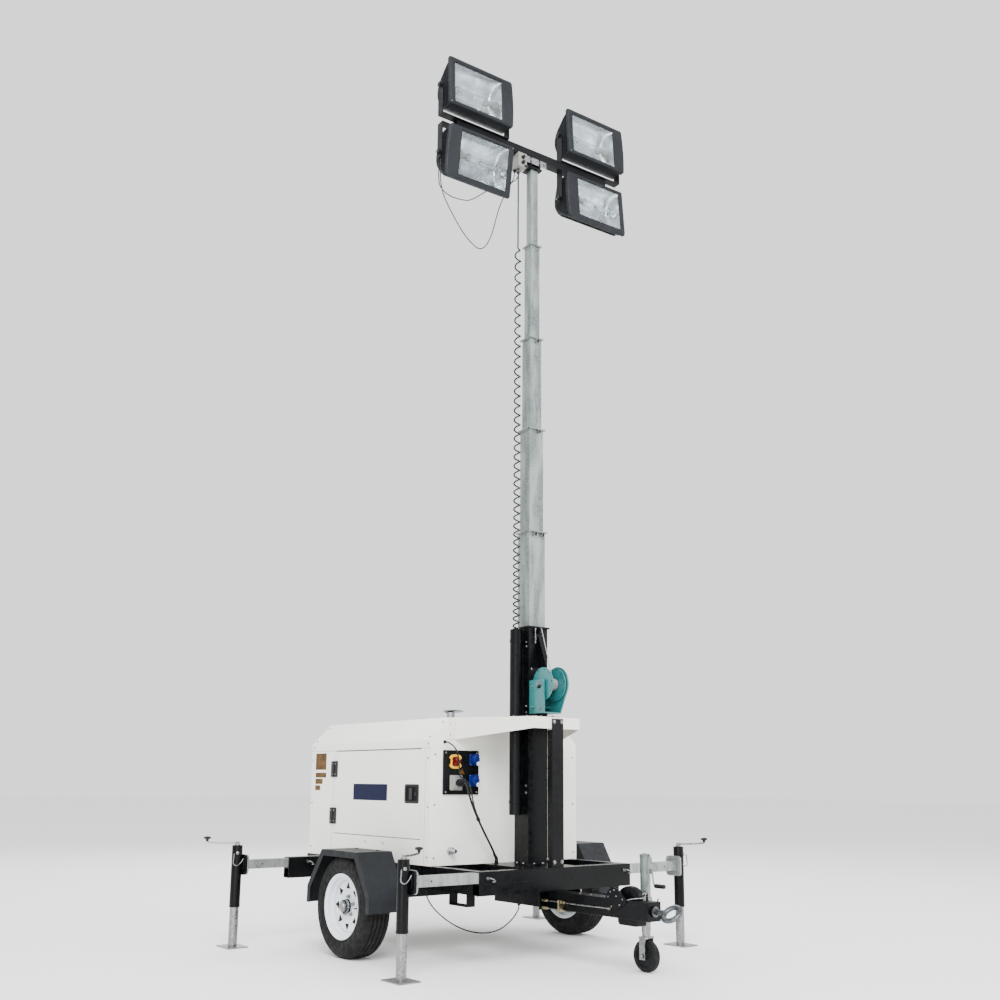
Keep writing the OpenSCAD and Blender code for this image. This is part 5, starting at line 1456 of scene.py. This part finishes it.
def handbrake():
    """Sector plate, hump, clevis and pawl on the drawbar, and the rods with their equaliser behind."""
    y0, y1 = -0.0580, -0.0523
    sector = np.array([(967, 396), (967, 437), (975, 448), (1011, 478), (1030, 479), (1060, 470), (1130, 418),
                       (1131, 405), (1116, 392), (1048, 354), (1003, 350), (985, 360)]) * MM
    t = np.radians(np.linspace(11.1, 168.9, 30))
    hump = polar(0.098, t, (1.110, 0.397), 0.090 / 0.098)
    steps = [block((0.998 + 0.013 * i, -0.030, 0.4162),
                   (1.007 + 0.013 * i, 0.030, 0.428 + 0.010 * (i % 2)), 0.0015)
             for i in range(2)]
    side_plates = [along_y(np.array([(1.03, 0.4162), (1.03, 0.448), (1.06, 0.470), (1.11, 0.470),
                                     (1.14, 0.4162)]),
                           s * 0.0225, s * 0.0265) for s in (-1, 1)]
    teeth = []
    for a in np.radians(np.linspace(20, 150, 16)):
        out = np.array([math.cos(a), 0, math.sin(a)])
        at = (1.110 + 0.0985 * out[0], 0.0, 0.397 + 0.0905 * out[2])
        tooth = block((-0.003, -0.012, -0.002), (0.003, 0.012, 0.002), 0.001)
        teeth.append(lay(tooth, at, np.cross(LEFT, out), LEFT, out))
    shaft = facing(rod(0.008, -0.055, 0.034), (1.050, 0, 0.432), LEFT)
    hanger = block((0.438, -0.1080, 0.305), (0.444, -0.0525, 0.4157), 0.002)
    castings = join(along_y(sector, y0, y1), along_y(hump, -0.020, 0.020), shaft, hanger, *steps,
                    *side_plates, *teeth)
    black = piece("handbrake_castings", castings, "trailer", BLACK_COAT, 35, 0.0008)
    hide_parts("handbrake")
    z = DRAWBAR_TOP
    ears = [join(block((1.211, s * 0.014, z), (1.234, s * 0.009, z + 0.040), 0.003),
                 facing(disc(0.0115, 0.005, 24), (1.2225, s * 0.014, z + 0.036), (0, -s, 0)))
                 for s in (-1, 1)]
    bolt = facing(rod(0.0045, -0.019, 0.019), (1.2225, 0, z + 0.036), LEFT)
    stop = block((1.196, -0.008, z), (1.214, 0.008, z + 0.020), 0.002)
    steps = [(1.135, -0.056, 0.417), (1.160, -0.052, 0.424), (1.190, -0.030, 0.428), (1.214, -0.012, 0.430)]
    pull = tube(smooth_path(steps, 6), 0.0032, 8)
    piece("handbrake_clevis", join(*ears, bolt, stop, pull), "trailer", BRIGHT_ZINC, 40)
    spots = [(0.985, 0.425), (1.003, 0.452), (1.034, 0.464), (1.010, 0.372), (1.098, 0.418), (1.075, 0.386),
             (1.050, 0.432)]
    rivets = [((x, y0, h), RIGHT, 0.0052) for x, h in spots]
    rivets += [((0.700 + 0.09 * i, -0.010, 0.4157), UP, 0.005) for i in range(2)]
    piece("handbrake_rivets", heads(rivets, screw_cap), "trailer", BRIGHT_ZINC)
    long_rod = tube([(0.596, -0.0575, 0.357), (0.80, -0.0575, 0.357), (1.006, -0.0575, 0.359)], 0.0040, 12)
    rods = [tube([(x, -0.083, h) for x in (0.438, 0.52, 0.606)], 0.0036, 12) for h in ROD_HEIGHTS]
    piece("brake_rods", join(long_rod, *rods), "trailer", BRIGHT_ZINC, 50)
    sleeve = spun([(0, 0), (0.0075, 0), (0.0085, 0.004), (0.0085, 0.034), (0.006, 0.040), (0, 0.040)], 20)
    nut = plate(hexagon(0.0085), 0, 0.008, 0.001)
    thin_nut = plate(hexagon(0.0080), 0, 0.007, 0.001)
    ends = [(part, (x, -0.083, h)) for h in ROD_HEIGHTS
            for part, x in ((sleeve, 0.454), (nut, 0.585), (nut, 0.607), (thin_nut, 0.4445))]
    ends += [(nut, (x, -0.0575, 0.357)) for x in (0.584, 0.607, 0.985)]
    bar = block((0.597, -0.098, 0.305), (0.603, -0.0530, 0.374), 0.002)
    fittings = join(bar, *[lay(part, at, UP, LEFT, FORWARD) for part, at in ends])
    piece("brake_rod_ends", fittings, "trailer", BRASS, 35)


def drawbar_trim():
    """The skid box under the drawbar, and the lip of its open end."""
    skid = np.array([(1.040, 0.3125), (1.040, 0.290), (1.052, 0.276), (1.184, 0.276), (1.190, 0.282),
                     (1.190, 0.3125)])
    piece("skid_box", along_y(skid, -0.038, 0.038), "trailer", BLACK_COAT, 30, 0.0015)
    lip = hoop((0.1045, 0.1045, 0.004, 1.279), (0.1045, 0.1045, 0.004, 1.2862),
               (0.0945, 0.0945, 0.003, 1.2862), (0.0945, 0.0945, 0.003, 1.279))
    piece("drawbar_lip", lay(lip, (0, 0, 0.3638), LEFT, UP, FORWARD), "trailer", BLACK_COAT, 30)


def tow_eye():
    """A forged ring of oval section, its neck drawn out to the round shank, and the collar at the drawbar."""
    a = angles(72)[:, None]
    b = angles(24)[None, :]
    r = 0.050 + 0.0158 * np.cos(b)
    ring = np.stack([1.415 + r * np.cos(a), r * np.sin(a), 0.0130 * np.sin(b) + 0 * a], -1)
    neck_x = np.linspace(1.245, 1.372, 24)
    neck_r = np.interp(neck_x, [1.245, 1.300, 1.330, 1.352, 1.372], [0.015, 0.015, 0.0155, 0.0165, 0.0150])
    neck = tube(np.column_stack([neck_x, 0 * neck_x, 0 * neck_x]), neck_r, 28)
    collar = [(0, 0), (0.024, 0), (0.029, 0.002), (0.030, 0.005), (0.029, 0.011), (0.019, 0.014), (0, 0.014)]
    collar = lay(spun(collar, 36), (1.2865, 0, 0), LEFT, UP, FORWARD)
    t = math.radians(40)
    y, z = (0, math.cos(t), math.sin(t)), (0, -math.sin(t), math.cos(t))
    forged = lay(join(skin(ring, loop=True), neck, collar), (0, 0, 0.364), FORWARD, y, z)
    made = piece("forged_tow_eye", forged, "eye", FORGED_STEEL, 40)
    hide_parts("tow_eye")


def jockey():
    """Tube with cap, ears and clamp screw, the thin crank bent down to a black grip, and the axle's nuts."""
    x, y = 1.060, 0.172
    wall = turned([(0.0272, 0.330), (0.030, 0.330), (0.030, 0.646), (0.0272, 0.646)], 44)
    cap = spun([(0, 0.640), (0.0325, 0.640), (0.0325, 0.652), (0.029, 0.656), (0.012, 0.658), (0.010, 0.662),
                (0, 0.662)], 40)
    ears = [block((x + 0.020, y + s * 0.010, 0.546), (x + 0.040, y + s * 0.014, 0.574), 0.002)
            for s in (-1, 1)]
    clamp = turned([(0.0302, 0.344), (0.038, 0.344), (0.038, 0.414), (0.0302, 0.414)], 44)
    bracket = block((x - 0.034, 0.0523, 0.344), (x + 0.034, y - 0.031, 0.414), 0.004)
    tee = join(facing(rod(0.006, 0.030, 0.075), (x, y, 0.379), (0.3, 0.95, 0)),
               facing(rod(0.0045, -0.030, 0.030), (x + 0.0225, y + 0.0712, 0.379), (0.5, -0.15, 0.85)))
    upright = shift(join(wall, cap, clamp), x, y)
    made = piece("jockey_outer_tube", join(upright, bracket, tee, *ears), "trailer", ZINC, 35)
    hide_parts("jockey_tube")
    steps = [(1.064, y, 0.654), (1.088, y, 0.6535), (1.101, y, 0.648), (1.107, y, 0.630), (1.112, y, 0.590),
             (1.118, y, 0.540), (1.124, y, 0.500), (1.130, y, 0.486), (1.142, y, 0.482), (1.206, y, 0.482)]
    piece("jockey_crank", tube(smooth_path(steps, 6), 0.0052, 12), "trailer", BRIGHT_ZINC, 50)
    grip = [(0, 1.136), (0.011, 1.136), (0.0125, 1.139)]
    grip += [(0.0122 + 0.0009 * (i % 2), 1.143 + 0.006 * i) for i in range(10)]
    grip += [(0.0128, 1.205), (0.011, 1.209), (0, 1.2095)]
    piece("jockey_grip", lay(spun(grip, 28), (0, y, 0.482), LEFT, UP, FORWARD), "trailer", BLACK_PLASTIC, 40)
    bolts = [((x, y + s * 0.0425, 0.090), (0, s, 0), 0.010) for s in (-1, 1)]
    piece("jockey_axle_nuts", heads(bolts), "jockey_castor", BRIGHT_ZINC, 35)


for jack_word, (jack_x, jack_y, jack_turn) in JACKS.items():
    make_jack(jack_word, jack_x, jack_y, jack_turn)
chassis_trim()
handbrake()
drawbar_trim()
tow_eye()
jockey()

# Wheels
AXLE_X = -0.375
WHEEL_Y = 0.918
TYRE_R = 0.307
LUG_CIRCLE_R = 0.0575


def tyre_shell():
    """Radius and width along one cut, from bead to bead, turned round.

    The four wavy grooves are 7 mm deep and swing by 2 mm to and fro, 32 times a turn. Each shoulder has
    64 notches 4 mm deep.
    """
    wall = np.array([(0.1785, 0.072), (0.1915, 0.0805), (0.199, 0.0868), (0.206, 0.0882), (0.2085, 0.0898),
                     (0.219, 0.0914),
                     (0.2215, 0.0926), (0.236, 0.0938), (0.250, 0.0940), (0.262, 0.0925), (0.2645, 0.0933),
                     (0.272, 0.0900), (0.2745, 0.0905), (0.285, 0.0850)])
    shoulder = np.array([(0.2935, 0.0790), (0.3000, 0.0720), (0.3038, 0.0655), (0.3052, 0.0600)])
    tread = []
    for c in (0.042, 0.0145, -0.0145, -0.042):
        for w, low in ((c + 0.0050, 0), (c + 0.0032, 1), (c - 0.0032, 1), (c - 0.0050, 0)):
            tread.append((w, low))
        tread.append((c - 0.0135, 0))
    tread = np.array(tread[:-1])
    crown = 0.3068 - 0.0012 * (tread[:, 0] / 0.05) ** 2 - 0.0070 * tread[:, 1]
    half = np.concatenate([wall, shoulder])
    cut = np.concatenate([half, np.column_stack([crown, tread[:, 0]]), half[::-1] * (1, -1)])
    swings = np.concatenate([np.zeros(len(half)), np.ones(len(tread)), np.zeros(len(half))])
    notch = np.concatenate([np.zeros(len(wall)), [1, 1, 1, 0.8]])
    notch = np.concatenate([notch, np.zeros(len(tread)), notch[::-1]])
    turns = 64 * 8
    a = angles(turns)[:, None]
    phase = np.arange(turns) % 8
    dip = np.where(phase < 1, 1.0, np.where(phase < 2, 0.6, 0.0))
    wave = 0.0020 * (np.abs((np.arange(turns) % 16) / 8.0 - 1) * 2 - 1)
    r = cut[None, :, 0] - 0.0040 * notch[None, :] * dip[:, None]
    w = cut[None, :, 1] + swings[None, :] * wave[:, None]
    return skin(np.stack([r * np.cos(a), r * np.sin(a), w], -1), loop=True)


def lug(r):
    """A cone-seated hexagon nut with the stud's rounded end."""
    nut = plate(hexagon(r), 0.001, 0.016, 0.0015)
    stud = spun([(0, 0), (0.0062, 0), (0.0062, 0.022), (0.005, 0.0235), (0, 0.0235)], 16)
    return join(spun([(0, 0), (1.15 * r, 0), (1.05 * r, 0.002), (0, 0.002)], 20), nut, stud)


def make_wheel(word, s):
    """Tyre, painted rim with black hub and eight dark plates of painted shade over its vents, five nuts,
    grease cap, drum and valve.
    """
    body = word + "_wheel"
    at = (AXLE_X, s * WHEEL_Y, TYRE_R)
    axes = (FORWARD, UP, (0, s, 0))
    tyre = piece(word + "_tyre", lay(tyre_shell(), at, *axes), body, TYRE, 40)
    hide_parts("tyre_" + word)
    rim = dress("rim_" + word, RIM_PAINT, 0.0, whole=False)

    def hub(p):
        """Faces of the hub: those near the axle's line."""
        near = np.hypot(p[:, 0] - AXLE_X, p[:, 2] - TYRE_R) < 0.0396
        return near & (np.abs(p[:, 1]) > WHEEL_Y + 0.042)

    def drum(p):
        """Faces of the drum behind the disc."""
        near = np.hypot(p[:, 0] - AXLE_X, p[:, 2] - TYRE_R)
        return (near > 0.0600) & (near < 0.0640) & (np.abs(p[:, 1]) < WHEEL_Y + 0.0215)

    paint(rim, BLACK_COAT, hub)
    paint(rim, BLACK_COAT, drum)
    spots = round_y(at, LUG_CIRCLE_R, np.radians(np.arange(5) * 72 + 18), s * (WHEEL_Y + 0.0280))
    nuts = [lay(lug(0.0105), spot, *axes) for spot in spots]
    piece(word + "_wheel_nuts", join(*nuts), body, BRIGHT_ZINC, 35)
    cap = spun([(0, 0.0688), (0.0315, 0.0688), (0.0315, 0.0715), (0.0285, 0.0725), (0.0270, 0.0830),
                (0.024, 0.0862), (0, 0.0868)], 40)
    piece(word + "_grease_cap", lay(cap, at, *axes), body, BRIGHT_ZINC, 40)
    bead = turned([(0.0392, 0.040), (0.0425, 0.041), (0.0425, 0.050), (0.0392, 0.051)], 40)
    piece(word + "_hub_ring", lay(bead, at, *axes), body, BLACK_COAT, 40)
    # Painted shade: eight dark plates on the disc, over its through-holes, so that the vents look dark
    wedge = np.array([(0.104, -0.023), (0.146, 0.0), (0.104, 0.023)])
    vents = []
    for a in np.radians(np.arange(8) * 45):
        c, n = math.cos(a), math.sin(a)
        vents.append(plate(wedge @ np.array([(c, n), (-n, c)]), 0.0354, 0.0384))
    piece(word + "_rim_vents", lay(join(*vents), at, *axes), body, PAINTED_SHADE_BLACK, 35)
    shoe = [(0.063, -0.048), (0.138, -0.048), (0.140, -0.044), (0.140, 0.008), (0.134, 0.0135),
            (0.063, 0.0145)]
    piece(word + "_brake_drum", lay(turned(shoe, 64), at, *axes), body, BLACK_COAT, 40)
    valve = facing(spun([(0, 0), (0.005, 0), (0.0045, 0.016), (0.0035, 0.018), (0.0035, 0.030), (0, 0.031)],
                        16),
                   (0.150, 0.0, 0.052), (-0.25, 0, 1))
    piece(word + "_valve", lay(valve, at, *axes), body, RUBBER, 40)


make_wheel("right", -1)
make_wheel("left", 1)


def fender_trim():
    """Bolts that hold each fender to its stays, on its flat top."""
    places = [((AXLE_X + dx, s * 0.830, 0.640), UP, 0.008) for s in (-1, 1) for dx in (-0.12, 0.12)]
    piece("fender_bolts", heads(places, screw_cap), "trailer", FENDER_COAT)


fender_trim()

# Finishes of the pieces that keep the frame's shape
PLAIN = {
    "chassis": (BLACK_COAT, 0.003), "drawbar": (BLACK_COAT, 0.003),
    "axle": (BLACK_COAT, 0.002), "fenders": (FENDER_COAT, 0.001),
    "roof": (WHITE_PAINT, 0.003), "engine_block": (CAST_IRON, 0.004), "exhaust": (DULL_STEEL, 0.0006),
    "shelf": (SHELF_PAINT, 0.001),
    "front_brace": (BLACK_COAT, 0.0015),
    "jockey_stem": (BRIGHT_ZINC, 0.0), "jockey_fork": (BRIGHT_ZINC, 0.0008), "jockey_wheel": (RUBBER, 0.001),
    "mast_base": (BLACK_COAT, 0.002), "winch_frame": (TEAL_PAINT, 0.001),
    "light_bar": (BAR_COAT, 0.001), "head_box": (GREY_PLASTIC, 0.002)}
for corner_name in JACKS:
    PLAIN["arm_" + corner_name] = (PALE_ZINC, 0.0012)
    PLAIN["leg_" + corner_name] = (BRIGHT_ZINC, 0.001)


def in_mast(p):
    """Points in the mast's frame."""
    return (p - MAST_AT) @ np.array([MAST_X, MAST_Y, UP]).T


def winch_core(p):
    """Faces of the drum's core and shaft."""
    q = in_mast(p)
    return np.hypot(q[:, 0] - DRUM_AT[0], q[:, 2] - DRUM_AT[2]) < 0.036


paint(dress("winch_drum", TEAL_PAINT, 0.0, whole=False), DULL_STEEL, winch_core)
for number, half in enumerate(SECTION_W, 1):
    tube_made = dress("mast_section_%d" % number, ZINC, 0.0015)
    paint(tube_made, BRIGHT_ZINC, lambda p: np.abs(in_mast(p)[:, :2]).max(1) > half / 2 + 0.002)
for node, (material, bevel) in PLAIN.items():
    dress(node, material, bevel)
